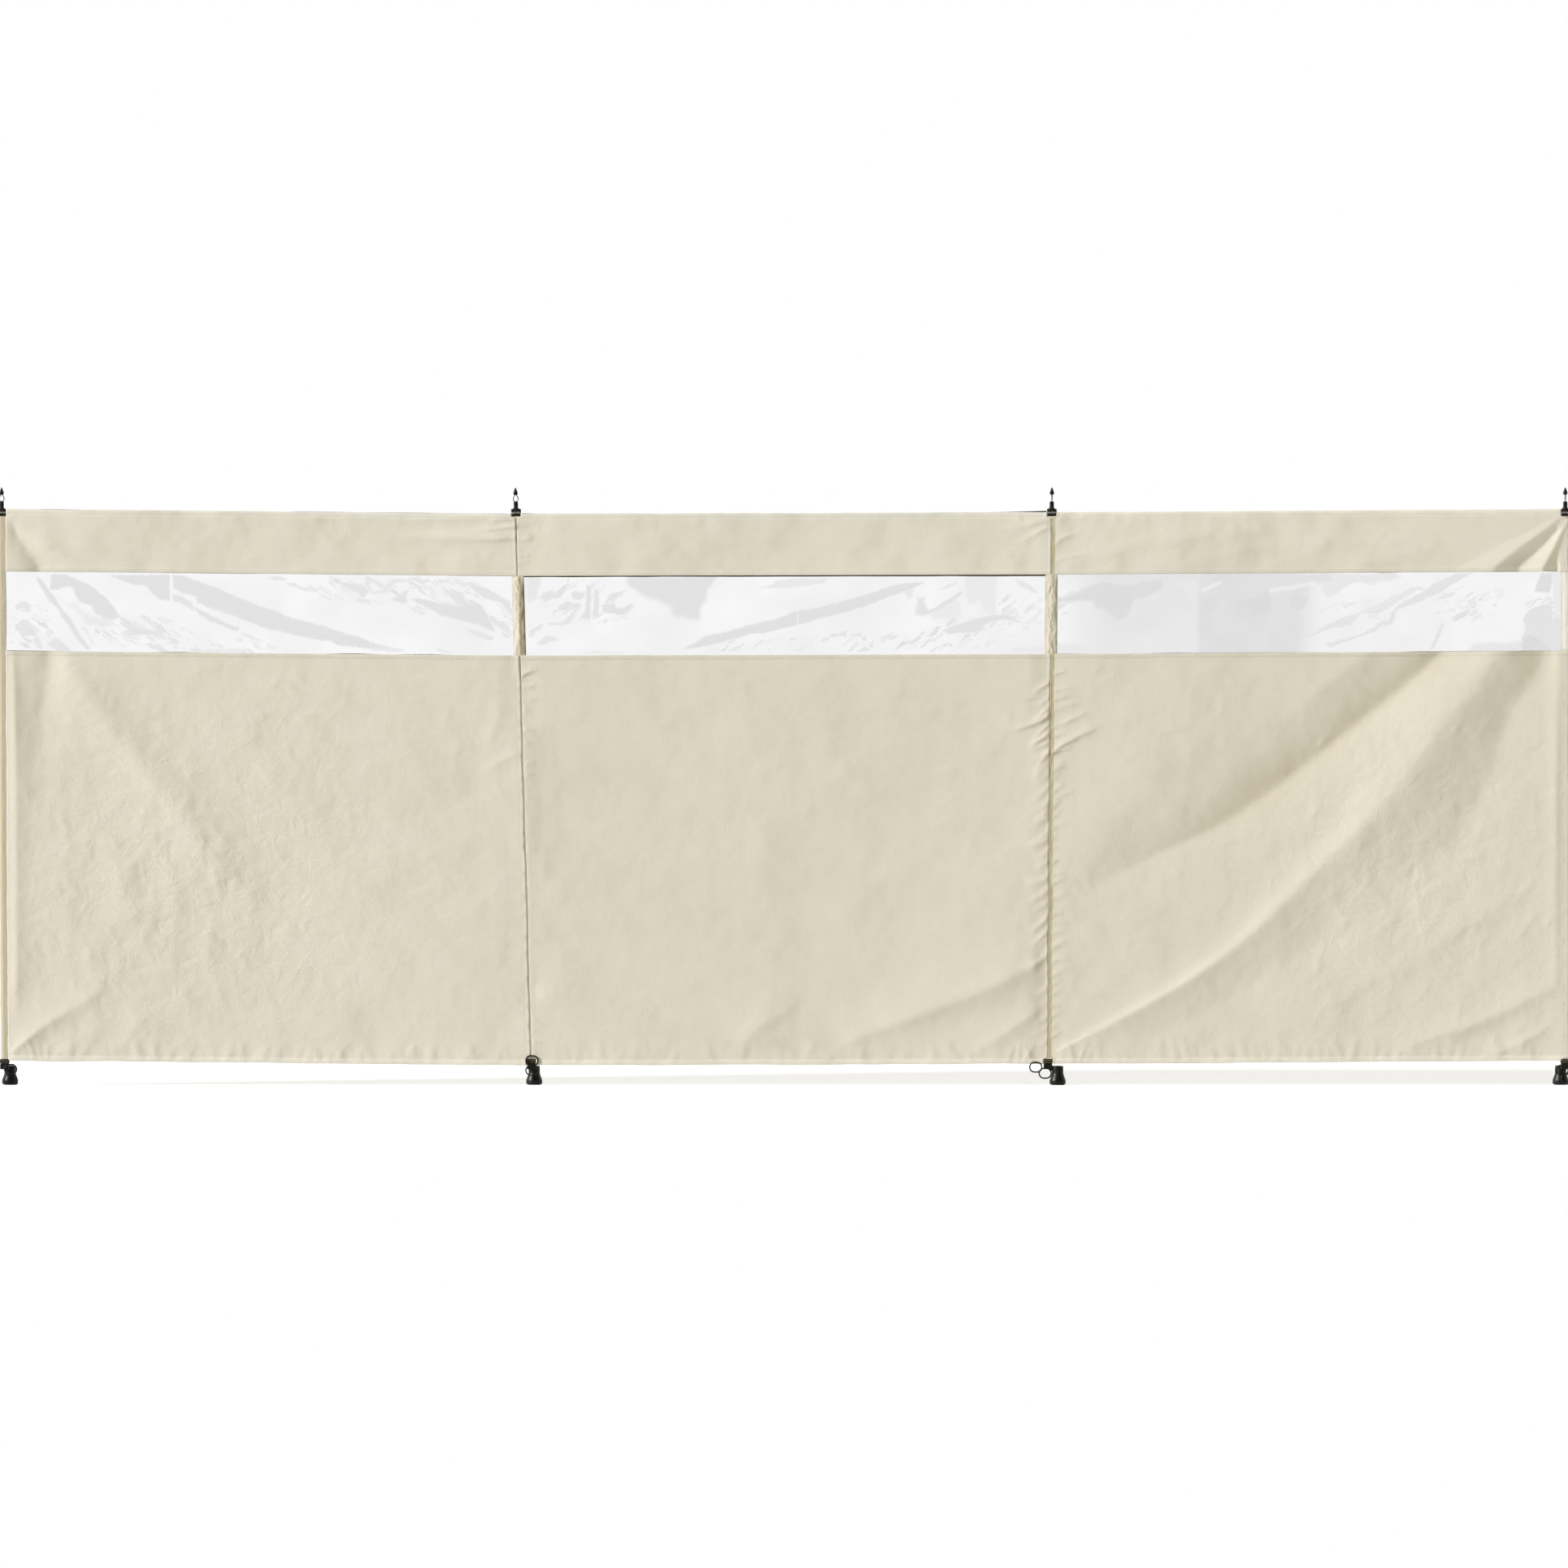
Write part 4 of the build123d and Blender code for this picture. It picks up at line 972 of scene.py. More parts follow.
# %% Outlines of the grey facets
# A row is how grey the facet is, as painted shade added to the film's haze, how soft its edge is, and its
# outline; lengths are in millimetres.
FACETS = [
    (0.80, 2.1, [(104, 1292), (145, 1292), (209, 1263), (252, 1226), (281, 1185), (264, 1177), (240, 1183),
     (217, 1195), (209, 1212), (180, 1222), (166, 1241), (162, 1255), (147, 1263), (121, 1253),
     (104, 1255)]),
    (0.55, 10.3, [(117, 1237), (141, 1226), (178, 1220), (215, 1191), (260, 1179), (269, 1161), (240, 1148),
     (203, 1156), (182, 1169), (158, 1202)]),
    (0.76, 1.4, [(69, 1288), (78, 1284), (141, 1195), (158, 1181), (170, 1152), (207, 1103), (195, 1103),
     (172, 1128), (149, 1165), (135, 1181), (125, 1206), (100, 1226), (71, 1276)]),
    (0.65, 2.1, [(14, 1214), (30, 1224), (47, 1222), (57, 1202), (47, 1197), (34, 1206), (18, 1202)]),
    (0.65, 3.1, [(22, 1167), (34, 1179), (51, 1177), (63, 1152), (71, 1144), (34, 1132), (22, 1148)]),
    (0.60, 2.1, [(63, 1132), (71, 1138), (80, 1124), (86, 1103), (75, 1103), (61, 1121)]),
    (0.70, 2.1, [(98, 1111), (104, 1124), (121, 1134), (162, 1095), (125, 1095), (114, 1105)]),
    (0.60, 2.1, [(82, 1177), (90, 1179), (98, 1161), (100, 1136), (94, 1138), (92, 1165)]),
    (0.78, 1.4, [(250, 1290), (406, 1292), (406, 1226), (384, 1228), (363, 1243), (347, 1263),
     (316, 1267)]),
    (0.78, 1.4, [(414, 1292), (433, 1290), (503, 1267), (634, 1212), (675, 1200), (706, 1185), (798, 1161),
     (860, 1140), (895, 1132), (926, 1117), (959, 1109), (911, 1105), (829, 1113), (815, 1124), (794, 1124),
     (655, 1154), (542, 1197), (515, 1204), (476, 1222), (470, 1237), (439, 1243), (416, 1257)]),
    (0.70, 1.4, [(414, 1243), (439, 1237), (462, 1222), (468, 1200), (433, 1220), (414, 1224)]),
    (0.76, 1.4, [(470, 1210), (558, 1165), (585, 1158), (577, 1148), (507, 1175), (486, 1187),
     (472, 1200)]),
    (0.60, 1.4, [(583, 1146), (597, 1144), (624, 1132), (640, 1128), (638, 1124), (614, 1128),
     (593, 1138)]),
    (0.70, 2.1, [(277, 1189), (301, 1177), (316, 1165), (336, 1156), (367, 1150), (400, 1150), (377, 1134),
     (351, 1140), (306, 1136), (281, 1144), (301, 1152), (297, 1165), (281, 1179)]),
    (0.70, 1.4, [(342, 1119), (384, 1111), (404, 1095), (388, 1097), (355, 1107)]),
    (0.55, 1.4, [(334, 1187), (394, 1150), (377, 1150), (340, 1175)]),
    (0.50, 2.1, [(470, 1101), (573, 1105), (605, 1101), (624, 1095), (470, 1095)]),
    (0.50, 2.1, [(190, 1154), (199, 1152), (215, 1119), (223, 1111), (211, 1113)]),
    (0.60, 1.4, [(698, 1269), (720, 1271), (741, 1261), (768, 1255), (796, 1259), (778, 1249),
     (747, 1251)]),
    (0.60, 1.4, [(646, 1286), (685, 1288), (704, 1278), (679, 1276)]),
    (0.70, 1.6, [(835, 1267), (860, 1271), (895, 1267), (911, 1251), (905, 1241), (893, 1234),
     (881, 1245)]),
    (0.50, 1.6, [(786, 1245), (827, 1228), (815, 1226), (794, 1234)]),
    (0.60, 1.6, [(897, 1273), (926, 1276), (911, 1267), (922, 1249), (942, 1253), (971, 1282), (1004, 1280),
     (1035, 1288), (1041, 1282), (1004, 1273), (979, 1271), (963, 1251), (946, 1245), (918, 1243)]),
    (0.75, 1.6, [(967, 1232), (1004, 1251), (1014, 1253), (1004, 1237), (1010, 1222), (994, 1220),
     (977, 1224)]),
    (0.80, 1.6, [(1016, 1228), (1037, 1232), (1096, 1218), (1137, 1214), (1168, 1218), (1193, 1216),
     (1203, 1202), (1230, 1146), (1189, 1165), (1096, 1187), (1045, 1216)]),
    (0.72, 1.6, [(1092, 1263), (1127, 1245), (1146, 1239), (1158, 1224), (1181, 1212), (1131, 1218)]),
    (0.50, 2.1, [(1004, 1259), (1029, 1265), (1053, 1265), (1076, 1257), (1084, 1230), (1070, 1228),
     (1063, 1251)]),
    (0.72, 1.6, [(1152, 1271), (1168, 1273), (1217, 1253), (1267, 1224), (1277, 1185), (1244, 1220),
     (1199, 1234)]),
    (0.65, 1.6, [(1154, 1156), (1205, 1144), (1226, 1132), (1222, 1124), (1193, 1132), (1168, 1144)]),
    (0.60, 1.6, [(1004, 1216), (1055, 1193), (1045, 1189), (1020, 1202)]),
    (0.60, 1.6, [(1201, 1204), (1215, 1183), (1234, 1169), (1267, 1154), (1273, 1136), (1226, 1165),
     (1209, 1181)]),
    (0.55, 2.1, [(934, 1115), (1000, 1101), (994, 1097), (959, 1097), (911, 1101)]),
    (0.60, 1.6, [(1074, 1107), (1098, 1103), (1123, 1095), (1098, 1095)]),
    (0.60, 5.1, [(1310, 1288), (1349, 1288), (1333, 1234), (1316, 1226), (1310, 1239)]),
    (0.70, 2.1, [(1351, 1247), (1374, 1251), (1390, 1241), (1357, 1222), (1341, 1232)]),
    (0.70, 2.1, [(1425, 1249), (1452, 1249), (1460, 1241), (1448, 1228), (1427, 1230), (1421, 1241)]),
    (0.75, 2.1, [(1394, 1214), (1415, 1224), (1427, 1218), (1445, 1222), (1435, 1208), (1415, 1202),
     (1388, 1200)]),
    (0.75, 1.6, [(1460, 1265), (1472, 1263), (1472, 1179), (1443, 1179), (1454, 1193), (1460, 1210)]),
    (0.70, 1.6, [(1480, 1257), (1493, 1255), (1493, 1210), (1489, 1181), (1478, 1183)]),
    (0.75, 1.6, [(1501, 1216), (1532, 1220), (1538, 1206), (1554, 1206), (1575, 1222), (1579, 1214),
     (1563, 1193), (1546, 1189), (1501, 1197)]),
    (0.70, 1.6, [(1509, 1224), (1521, 1243), (1563, 1253), (1526, 1224)]),
    (0.65, 1.6, [(1316, 1150), (1349, 1169), (1353, 1163), (1333, 1148), (1324, 1134), (1316, 1136)]),
    (0.65, 1.6, [(1333, 1115), (1361, 1140), (1396, 1126), (1374, 1124), (1357, 1115)]),
    (0.70, 1.4, [(1361, 1171), (1390, 1169), (1411, 1179), (1443, 1220), (1452, 1216), (1419, 1169),
     (1394, 1163), (1369, 1165)]),
    (0.78, 8.2, [(1563, 1292), (1788, 1290), (1772, 1271), (1764, 1255), (1760, 1226), (1743, 1210),
     (1743, 1181), (1686, 1181), (1671, 1206), (1610, 1234), (1589, 1257), (1569, 1271)]),
    (0.82, 1.6, [(1702, 1103), (1733, 1117), (1760, 1136), (1795, 1142), (1867, 1163), (1938, 1179),
     (2000, 1202), (2037, 1206), (2154, 1237), (2236, 1263), (2277, 1271), (2318, 1273), (2281, 1255),
     (2226, 1237), (2195, 1222), (2113, 1195), (2072, 1187), (2000, 1165), (1908, 1144), (1877, 1142),
     (1805, 1121), (1733, 1105)]),
    (0.55, 2.1, [(1891, 1259), (1928, 1265), (1940, 1276), (1980, 1282), (2076, 1284), (2062, 1271),
     (2000, 1261), (1928, 1257)]),
    (0.70, 1.6, [(2074, 1136), (2080, 1142), (2103, 1144), (2121, 1152), (2117, 1132), (2103, 1138),
     (2084, 1134)]),
    (0.60, 1.6, [(2125, 1142), (2158, 1144), (2158, 1134), (2134, 1136)]),
    (0.60, 1.6, [(2197, 1132), (2220, 1138), (2249, 1138), (2244, 1130), (2208, 1128)]),
    (0.60, 5.1, [(2265, 1251), (2286, 1255), (2286, 1230), (2271, 1230)]),
    (0.75, 5.1, [(2294, 1237), (2320, 1237), (2323, 1208), (2339, 1202), (2314, 1187), (2296, 1191)]),
    (0.75, 1.6, [(2314, 1191), (2409, 1251), (2415, 1245), (2372, 1214), (2329, 1191)]),
    (0.55, 1.6, [(2349, 1253), (2401, 1278), (2396, 1269), (2376, 1257)]),
    (0.78, 1.8, [(2360, 1152), (2421, 1173), (2483, 1189), (2524, 1191), (2544, 1183), (2569, 1167),
     (2524, 1179), (2493, 1175), (2468, 1165), (2452, 1150), (2431, 1144), (2407, 1146), (2380, 1140)]),
    (0.50, 6.2, [(2421, 1292), (2503, 1292), (2495, 1191), (2466, 1200), (2458, 1230), (2433, 1222),
     (2425, 1247)]),
    (0.50, 6.2, [(2318, 1202), (2401, 1222), (2405, 1189), (2339, 1177)]),
    (0.60, 1.6, [(2544, 1282), (2565, 1276), (2590, 1261), (2608, 1245), (2598, 1243), (2553, 1267)]),
    (0.50, 3.1, [(2530, 1095), (2548, 1107), (2581, 1107), (2618, 1111), (2618, 1095)]),
    (0.45, 3.1, [(1448, 1093), (1487, 1099), (1558, 1095), (1569, 1091)]),
    (0.95, 6.2, [(2647, 1230), (2770, 1273), (2822, 1269), (2889, 1273), (2914, 1278), (2914, 1263),
     (2877, 1230), (2852, 1228), (2828, 1189), (2807, 1177), (2774, 1202), (2750, 1208), (2739, 1222),
     (2647, 1220)]),
    (0.72, 8.2, [(2754, 1298), (3017, 1296), (3021, 1278), (2935, 1276), (2914, 1269), (2750, 1263)]),
    (0.70, 6.2, [(2935, 1259), (2959, 1263), (2980, 1247), (2972, 1228), (2945, 1228), (2931, 1243)]),
    (0.80, 8.2, [(3017, 1276), (3058, 1296), (3119, 1300), (3356, 1300), (3345, 1276), (3296, 1263),
     (3284, 1237), (3269, 1216), (3259, 1124), (3251, 1091), (3021, 1091), (3021, 1165), (3013, 1206),
     (3025, 1237)]),
    (0.55, 8.2, [(2822, 1185), (2852, 1226), (2935, 1222), (2996, 1237), (3025, 1216), (3025, 1091),
     (2822, 1091), (2811, 1134)]),
    (0.55, 6.2, [(2651, 1119), (2709, 1117), (2766, 1103), (2766, 1091), (2651, 1091)]),
    (0.92, 8.2, [(3017, 1237), (3058, 1230), (3058, 1202), (3037, 1193), (3017, 1202)]),
    (1.00, 10.3, [(3119, 1230), (3181, 1243), (3193, 1216), (3185, 1191), (3140, 1181)]),
    (0.92, 6.2, [(3235, 1237), (3263, 1247), (3284, 1230), (3276, 1206), (3243, 1206)]),
    (0.60, 4.1, [(3345, 1296), (3510, 1296), (3526, 1284), (3469, 1276), (3448, 1267), (3407, 1271),
     (3376, 1263), (3356, 1243), (3335, 1237), (3321, 1255), (3341, 1271)]),
    (0.72, 1.8, [(3664, 1296), (3703, 1296), (3643, 1263), (3623, 1247), (3547, 1214), (3520, 1206),
     (3495, 1191), (3510, 1210), (3530, 1224), (3582, 1251), (3602, 1267)]),
    (0.68, 1.8, [(3269, 1126), (3335, 1165), (3391, 1189), (3421, 1195), (3397, 1163), (3345, 1156)]),
    (0.72, 1.6, [(3333, 1117), (3417, 1140), (3458, 1161), (3475, 1175), (3491, 1177), (3499, 1197),
     (3508, 1197), (3504, 1173), (3493, 1165), (3473, 1163), (3456, 1148), (3376, 1121), (3345, 1107),
     (3335, 1109)]),
    (0.60, 1.8, [(3419, 1197), (3479, 1224), (3499, 1237), (3526, 1245), (3547, 1259), (3571, 1263),
     (3592, 1255), (3561, 1253), (3479, 1200), (3448, 1193)]),
    (0.70, 1.4, [(3596, 1103), (3625, 1169), (3633, 1169), (3623, 1140), (3604, 1103)]),
    (0.88, 2.1, [(3877, 1296), (3910, 1296), (3898, 1247), (3859, 1249)]),
    (0.74, 3.1, [(3830, 1181), (3847, 1202), (3886, 1218), (3904, 1216), (3908, 1185), (3945, 1175),
     (3945, 1091), (3830, 1091), (3828, 1134), (3838, 1154)]),
    (0.95, 3.1, [(3828, 1132), (3851, 1140), (3890, 1115), (3916, 1091), (3828, 1091)]),
    (0.50, 4.1, [(3906, 1296), (3945, 1296), (3945, 1169), (3908, 1175)]),
    (0.60, 4.1, [(3682, 1091), (3705, 1117), (3746, 1124), (3787, 1115), (3830, 1124), (3830, 1091)]),
    (0.45, 2.1, [(3282, 1189), (3362, 1220), (3345, 1208), (3315, 1195)]),
    (0.35, 3.1, [(3758, 1255), (3781, 1261), (3787, 1241), (3769, 1226)]),
    (0.40, 2.1, [(3654, 1210), (3674, 1216), (3699, 1212), (3678, 1204)]),
]
# Thin clear lines along creases, which stand in for their highlights as painted highlights: width, then
# points.
PAINTED_HIGHLIGHT_LINES = [
    (2.7, [(410, 1296), (410, 1224)]),
    (2.1, [(365, 1210), (384, 1191), (404, 1165), (416, 1144)]),
    (3.3, [(416, 1255), (441, 1245), (472, 1234)]),
    (2.5, [(1996, 1204), (1996, 1158)]),
    (2.1, [(3822, 1247), (3896, 1237)]),
    (2.1, [(3838, 1224), (3908, 1230)]),
    (2.1, [(3847, 1210), (3894, 1222)]),
    (2.5, [(3904, 1292), (3908, 1175)]),
    (2.5, [(1365, 1267), (1357, 1243)]),
    (2.5, [(1380, 1284), (1367, 1257)]),
    (2.5, [(1460, 1239), (1448, 1218), (1427, 1185)]),
    (2.1, [(1474, 1263), (1476, 1181)]),
    (2.1, [(798, 1128), (835, 1109)]),
    (2.1, [(903, 1136), (918, 1113)]),
    (6.2, [(3021, 1251), (3066, 1273)]),
    (7.2, [(3193, 1251), (3243, 1259), (3304, 1271)]),
    (2.5, [(1016, 1224), (1045, 1210), (1086, 1189)]),
    (2.5, [(1415, 1202), (1439, 1226)]),
]
# Places full of small crinkles: x, z, half width, half height.
CRINKLED = [(55, 1165, 70, 75), (330, 1150, 150, 45), (560, 1110, 130, 22), (900, 1255, 160, 40),
            (1120, 1235, 130, 50), (1235, 1165, 60, 50), (1400, 1235, 90, 50), (1500, 1220, 90, 60),
            (2030, 1115, 190, 22), (2350, 1125, 200, 35), (2420, 1160, 80, 30), (2560, 1200, 70, 55),
            (2680, 1240, 50, 60), (2950, 1215, 90, 40), (3440, 1205, 90, 35), (3680, 1215, 110, 50),
            (3875, 1205, 45, 45), (1830, 1110, 110, 15)]
CRINKLE_TURNS = [radians(-30), radians(38), radians(28)]  # the way the crinkles run in each window
print(len(FACETS), "facets and", len(PAINTED_HIGHLIGHT_LINES), "clear lines")

# %% Shape and haze of the film
def off_line(points, x, z):
    """Distance from each place to a line through points."""
    away = np.full(x.shape, 1e9)
    for (ax, az), (bx, bz) in zip(points[:-1], points[1:]):
        run_x, run_z = bx - ax, bz - az
        along = np.clip(((x - ax) * run_x + (z - az) * run_z) / (run_x**2 + run_z**2 + 1e-9), 0, 1)
        away = np.minimum(away, np.hypot(x - ax - along * run_x, z - az - along * run_z))
    return away


def inside_outline(points, x, z):
    """True within a closed outline: a level line from the place crosses it an odd number of times."""
    odd = np.zeros(x.shape, dtype=bool)
    for (ax, az), (bx, bz) in zip(points, points[1:] + points[:1]):
        if az != bz:
            odd ^= ((az > z) != (bz > z)) & (x < (bx - ax) * (z - az) / (bz - az) + ax)
    return odd


def film_marks(x, z):
    """Haze of the film from 0, clear, to 1, milky, with painted shade in its grey facets and painted
    highlights along its clear lines; how crinkled it is; and the lift of its facets.
    """
    haze_and_painted_shade = np.clip(0.16 + 0.1 * mottle(x, z, 130, 84) + 0.09 * mottle(x, z, 46, 85), 0, 1)
    # The third film's left half is drawn milkier, and so is the film's end at the last pole.
    in_third = soft_step(x, 2650, 2760) * (1 - soft_step(x, 3240, 3330))
    haze_and_painted_shade = haze_and_painted_shade + (0.38 + 0.24 * soft_step(x, 3000, 3020)) * in_third + 0.06 * soft_step(x, 1500, 1900)
    haze_and_painted_shade = haze_and_painted_shade + 0.35 * soft_step(x, 3895, 3925)
    tilt = np.zeros_like(x)
    jagged_x = x + 1.7 * mottle(x, z, 9, 82) + 0.8 * mottle(x, z, 5.5, 86)
    jagged_z = z + 1.5 * mottle(x, z, 8, 83)
    # Each grey facet adds painted shade to the haze.
    for milk_and_painted_shade, soft, outline in FACETS:
        xs, zs = [point[0] for point in outline], [point[1] for point in outline]
        wide = 3.0 + 0.7 * soft if soft < 4 else 2.4 * soft
        edge = 4 + wide
        near = (x > min(xs) - edge) & (x < max(xs) + edge)
        near &= (z > min(zs) - edge) & (z < max(zs) + edge)
        if not near.any():
            continue
        u, v = (jagged_x[near], jagged_z[near]) if soft < 4 else (x[near], z[near])
        away = off_line(outline + outline[:1], u, v) * np.where(inside_outline(outline, u, v), 1, -1)
        if soft >= 4:  # a soft facet wavers instead of being jagged
            away = away + 0.9 * soft * mottle(u, v, 38, 87) + 0.4 * soft * mottle(u, v, 14, 88)
        share = soft_step(away / wide, -0.5, 0.5)
        own = haze_and_painted_shade[near]
        haze_and_painted_shade[near] = own + (milk_and_painted_shade - own) * share * (milk_and_painted_shade > own)
        tilt[near] = np.maximum(tilt[near], milk_and_painted_shade * np.clip(away / 9 + 0.3, 0, 1))
    # Clear lines stand in for the highlights along creases: painted highlights.
    for wide, points in PAINTED_HIGHLIGHT_LINES:
        share = np.clip((wide * 0.8 - off_line(points, x, z)) / 1.5 + 0.5, 0, 1)
        haze_and_painted_shade *= 1 - 0.4 * share
    crowd = np.zeros_like(x)
    for place_x, place_z, wide, tall in CRINKLED:
        crowd += np.exp(-(((x - place_x) / wide) ** 2 + ((z - place_z) / tall) ** 2) ** 1.5)
    return np.clip(haze_and_painted_shade, 0, 1), np.clip(crowd * (1 - 0.7 * in_third), 0, 1), tilt


middle_haze_and_shade, _, _ = film_marks(np.array([[1700.0]]), np.array([[1250.0]]))
print("haze in a large facet of the middle film", round(float(middle_haze_and_shade[0, 0]), 2))

# %% [markdown]
# ## The finish of the film
# The film is soft vinyl (PVC), cast and polished. To the eye it is nearly clear, with a gloss that sharpens
# every crease, and milky where it is scuffed; the grey where it is bent away from the sky is painted shade.
# The clear part is a transparent shader, so that light isn't bent twice in so thin a sheet. Milk dims that
# shader's colour, which adds no grain to the render, and a thin solid veil and a gloss are mixed over it. The
# haze mark says how milky each place is, with the painted shade in it. Small crinkles are cells with straight
# sides: some are painted grey as shade, some are clear, and thin clear lines part them as painted highlights.

# %% Milk and crinkles of clear soft vinyl
clear_vinyl, tree = blank_material("clear_soft_vinyl")
place = node(tree, "TexCoord").outputs["Object"]
scuffs = node(tree, "TexNoise", {"Vector": place, "Scale": noise_scale(12.0), "Detail": 6.0,
                                 "Roughness": 0.7})
wander = node(tree, "TexNoise", {"Vector": place, "Scale": noise_scale(30.0), "Detail": 2.0})
bent = node(tree, "VectorMath", {0: wander.outputs["Color"], "Scale": 0.022}, operation="SCALE")
bent = node(tree, "VectorMath", {0: place, 1: bent}, operation="ADD")
turn = node(tree, "Attribute", attribute_name="turn")  # the way the crinkles run, in radians
slant = node(tree, "VectorRotate", {"Vector": bent, "Angle": turn.outputs["Fac"]}, rotation_type="Y_AXIS")
drawn_out = node(tree, "VectorMath", {0: slant, 1: (0.25, 1.0, 1.0)}, operation="MULTIPLY")
cells = node(tree, "TexVoronoi", {"Vector": drawn_out, "Scale": noise_scale(11.5)})
sides = node(tree, "TexVoronoi", {"Vector": drawn_out, "Scale": noise_scale(11.5)},
             feature="DISTANCE_TO_EDGE")
shade = node(tree, "SeparateColor", {0: cells.outputs["Color"]})
# Some cells are painted grey as the shade of small facets, and clear lines along their sides are painted
# highlights.
painted_shade_cell = node(tree, "MapRange", {0: shade, 1: 0.25, 2: 0.95, 3: 0.0, 4: 0.75})
painted_highlight_sides = node(tree, "MapRange", {0: sides.outputs["Distance"], 1: 0.0, 2: 0.16, 3: 0.1, 4: 1.0})
crinkle = node(tree, "Math", {0: painted_shade_cell, 1: painted_highlight_sides}, operation="MULTIPLY")
crowd_mark = node(tree, "Attribute", attribute_name="crowd")
crowded = node(tree, "Math", {0: crowd_mark.outputs["Fac"], 1: scuffs.outputs["Fac"]}, operation="ADD")
crowded = node(tree, "MapRange", {0: crowded, 1: 0.82, 2: 1.15, 3: 0.0, 4: 1.0})
crinkle = node(tree, "Math", {0: crinkle, 1: crowded}, operation="MULTIPLY")
haze_and_shade_mark = node(tree, "Attribute", attribute_name="haze_and_painted_shade")
haze_and_painted_shade = node(tree, "Math", {0: haze_and_shade_mark.outputs["Fac"], 1: crinkle}, operation="MAXIMUM")
print("haze and crinkles take", len(tree.nodes), "nodes")

# %% Clear soft vinyl with its gloss
ripple = node(tree, "Bump", {"Height": scuffs.outputs["Fac"], "Strength": 0.35, "Distance": 0.0006})
milk_and_painted_shade = node(tree, "BsdfPrincipled", {"Base Color": linear("#B4B4B4"), "Roughness": 0.16, "IOR": 1.53,
                                     "Specular IOR Level": 0.5, "Normal": ripple})
scuffed = node(tree, "MapRange", {0: scuffs.outputs["Fac"], 1: 0.35, 2: 0.7, 3: 0.96, 4: 1.04})
opacity = node(tree, "MapRange", {0: haze_and_painted_shade, 1: 0.0, 2: 1.0, 3: 0.012, 4: 0.49})
opacity = node(tree, "Math", {0: opacity, 1: scuffed}, operation="MULTIPLY")
front_skin = node(tree, "Attribute", attribute_name="front")  # only the front skin carries the milk
opacity = node(tree, "Math", {0: opacity, 1: front_skin.outputs["Fac"]}, operation="MULTIPLY")
# Milk mostly dims what is seen through the film, and a tenth of it is a solid veil.
dimmed = node(tree, "MapRange", {0: opacity, 1: 0.0, 2: 1.0, 3: 0.98, 4: 0.5})
tint = node(tree, "CombineColor", {0: dimmed, 1: dimmed, 2: dimmed})
clear = node(tree, "BsdfTransparent", {"Color": tint})
veil = node(tree, "Math", {0: opacity, 1: 0.1}, operation="MULTIPLY")
edge_gloss = node(tree, "Fresnel", {"IOR": 1.12, "Normal": ripple})
solid = node(tree, "Math", {0: veil, 1: edge_gloss}, operation="ADD", use_clamp=True)
film_mix = node(tree, "MixShader", {0: solid, 1: clear, 2: milk_and_painted_shade})
node(tree, "OutputMaterial", {"Surface": film_mix})
print(clear_vinyl.name, "made")

# %% Hang the three films
FILM, TUCK = 0.4, 8.0  # film thickness, and how far it reaches behind the cloth
STRIP = 15.5  # half the width of the sleeve where it shows between two windows
FILM_ROW, FILM_COLUMNS = 3.1, 421  # spacing of a film's rows, and how many columns it has
BACK_EVERY = 4  # a film's back skin has every fourth row and column


def film_edge(pole, side, z):
    """Where a film's end is tucked: behind an end sleeve, or behind the edge of a middle one's strip."""
    inner = 7.0 if pole in (0, 3) else STRIP - 3.0
    return axis_x(pole, z) + side * inner


def hang_film(bay):
    """Makes one window as a closed sheet of film, tucked behind the cloth above and below."""
    name = f"window_{bay + 1}"
    ends = edge_heights(name)
    lows, highs = [end[0] - TUCK for end in ends], [end[1] + TUCK for end in ends]
    tall = highs[0] - lows[0]
    levels = np.linspace(0, 1, BACK_EVERY * int(round(tall / (BACK_EVERY * FILM_ROW))) + 1)
    x, z = bay_grid(bay, film_edge, lows, highs, levels, np.linspace(0, 1, FILM_COLUMNS))
    rise = levels[:, None] * tall + 0 * x
    inside = soft_step(np.minimum(rise, tall - rise), TUCK + 1, TUCK + 9)
    haze_and_painted_shade, crowd, tilt = film_marks(x, z)
    crinkles = 2.6 * creased(x, z, 42, 71, stretch=1.6) ** 3 + 1.2 * creased(x, z, 19, 73) ** 3
    gap = np.minimum(x - x[:, :1], x[:, -1:] - x)  # distance from the nearer end
    own = (3.0 * tilt + crowd * crinkles) * (inside * soft_step(gap, 4, 20))
    tucked = 1.35 + 0.9 * (1 - inside)  # behind the panels' back skin
    middle = cloth_middle(x, z) - own + tucked
    marks = {"haze_and_painted_shade": haze_and_painted_shade, "crowd": crowd, "front": np.ones_like(haze_and_painted_shade),
             "turn": np.full_like(haze_and_painted_shade, CRINKLE_TURNS[bay])}
    film = closed_sheet(name + "_film", x, middle - FILM / 2, middle + FILM / 2, z, clear_vinyl,
                        "clear_film", marks, back_marks={"front": np.zeros_like(haze_and_painted_shade)}, every=BACK_EVERY)
    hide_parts(name)
    print(film.name, x.shape, "cells,", round(float(haze_and_painted_shade.mean()), 2), "mean haze")


for bay in BAYS:
    hang_film(bay)

# %% [markdown]
# # Sleeves
# A sleeve is a long pocket of the same cloth, sewn to the back of the wall. Its section is the outline that
# a tight cloth takes round the pole and its two seams, worked out from how far it reaches in every
# direction. It is a little too large for the pole, so it wrinkles behind, and between the windows its front
# shows as a narrow gathered strip.

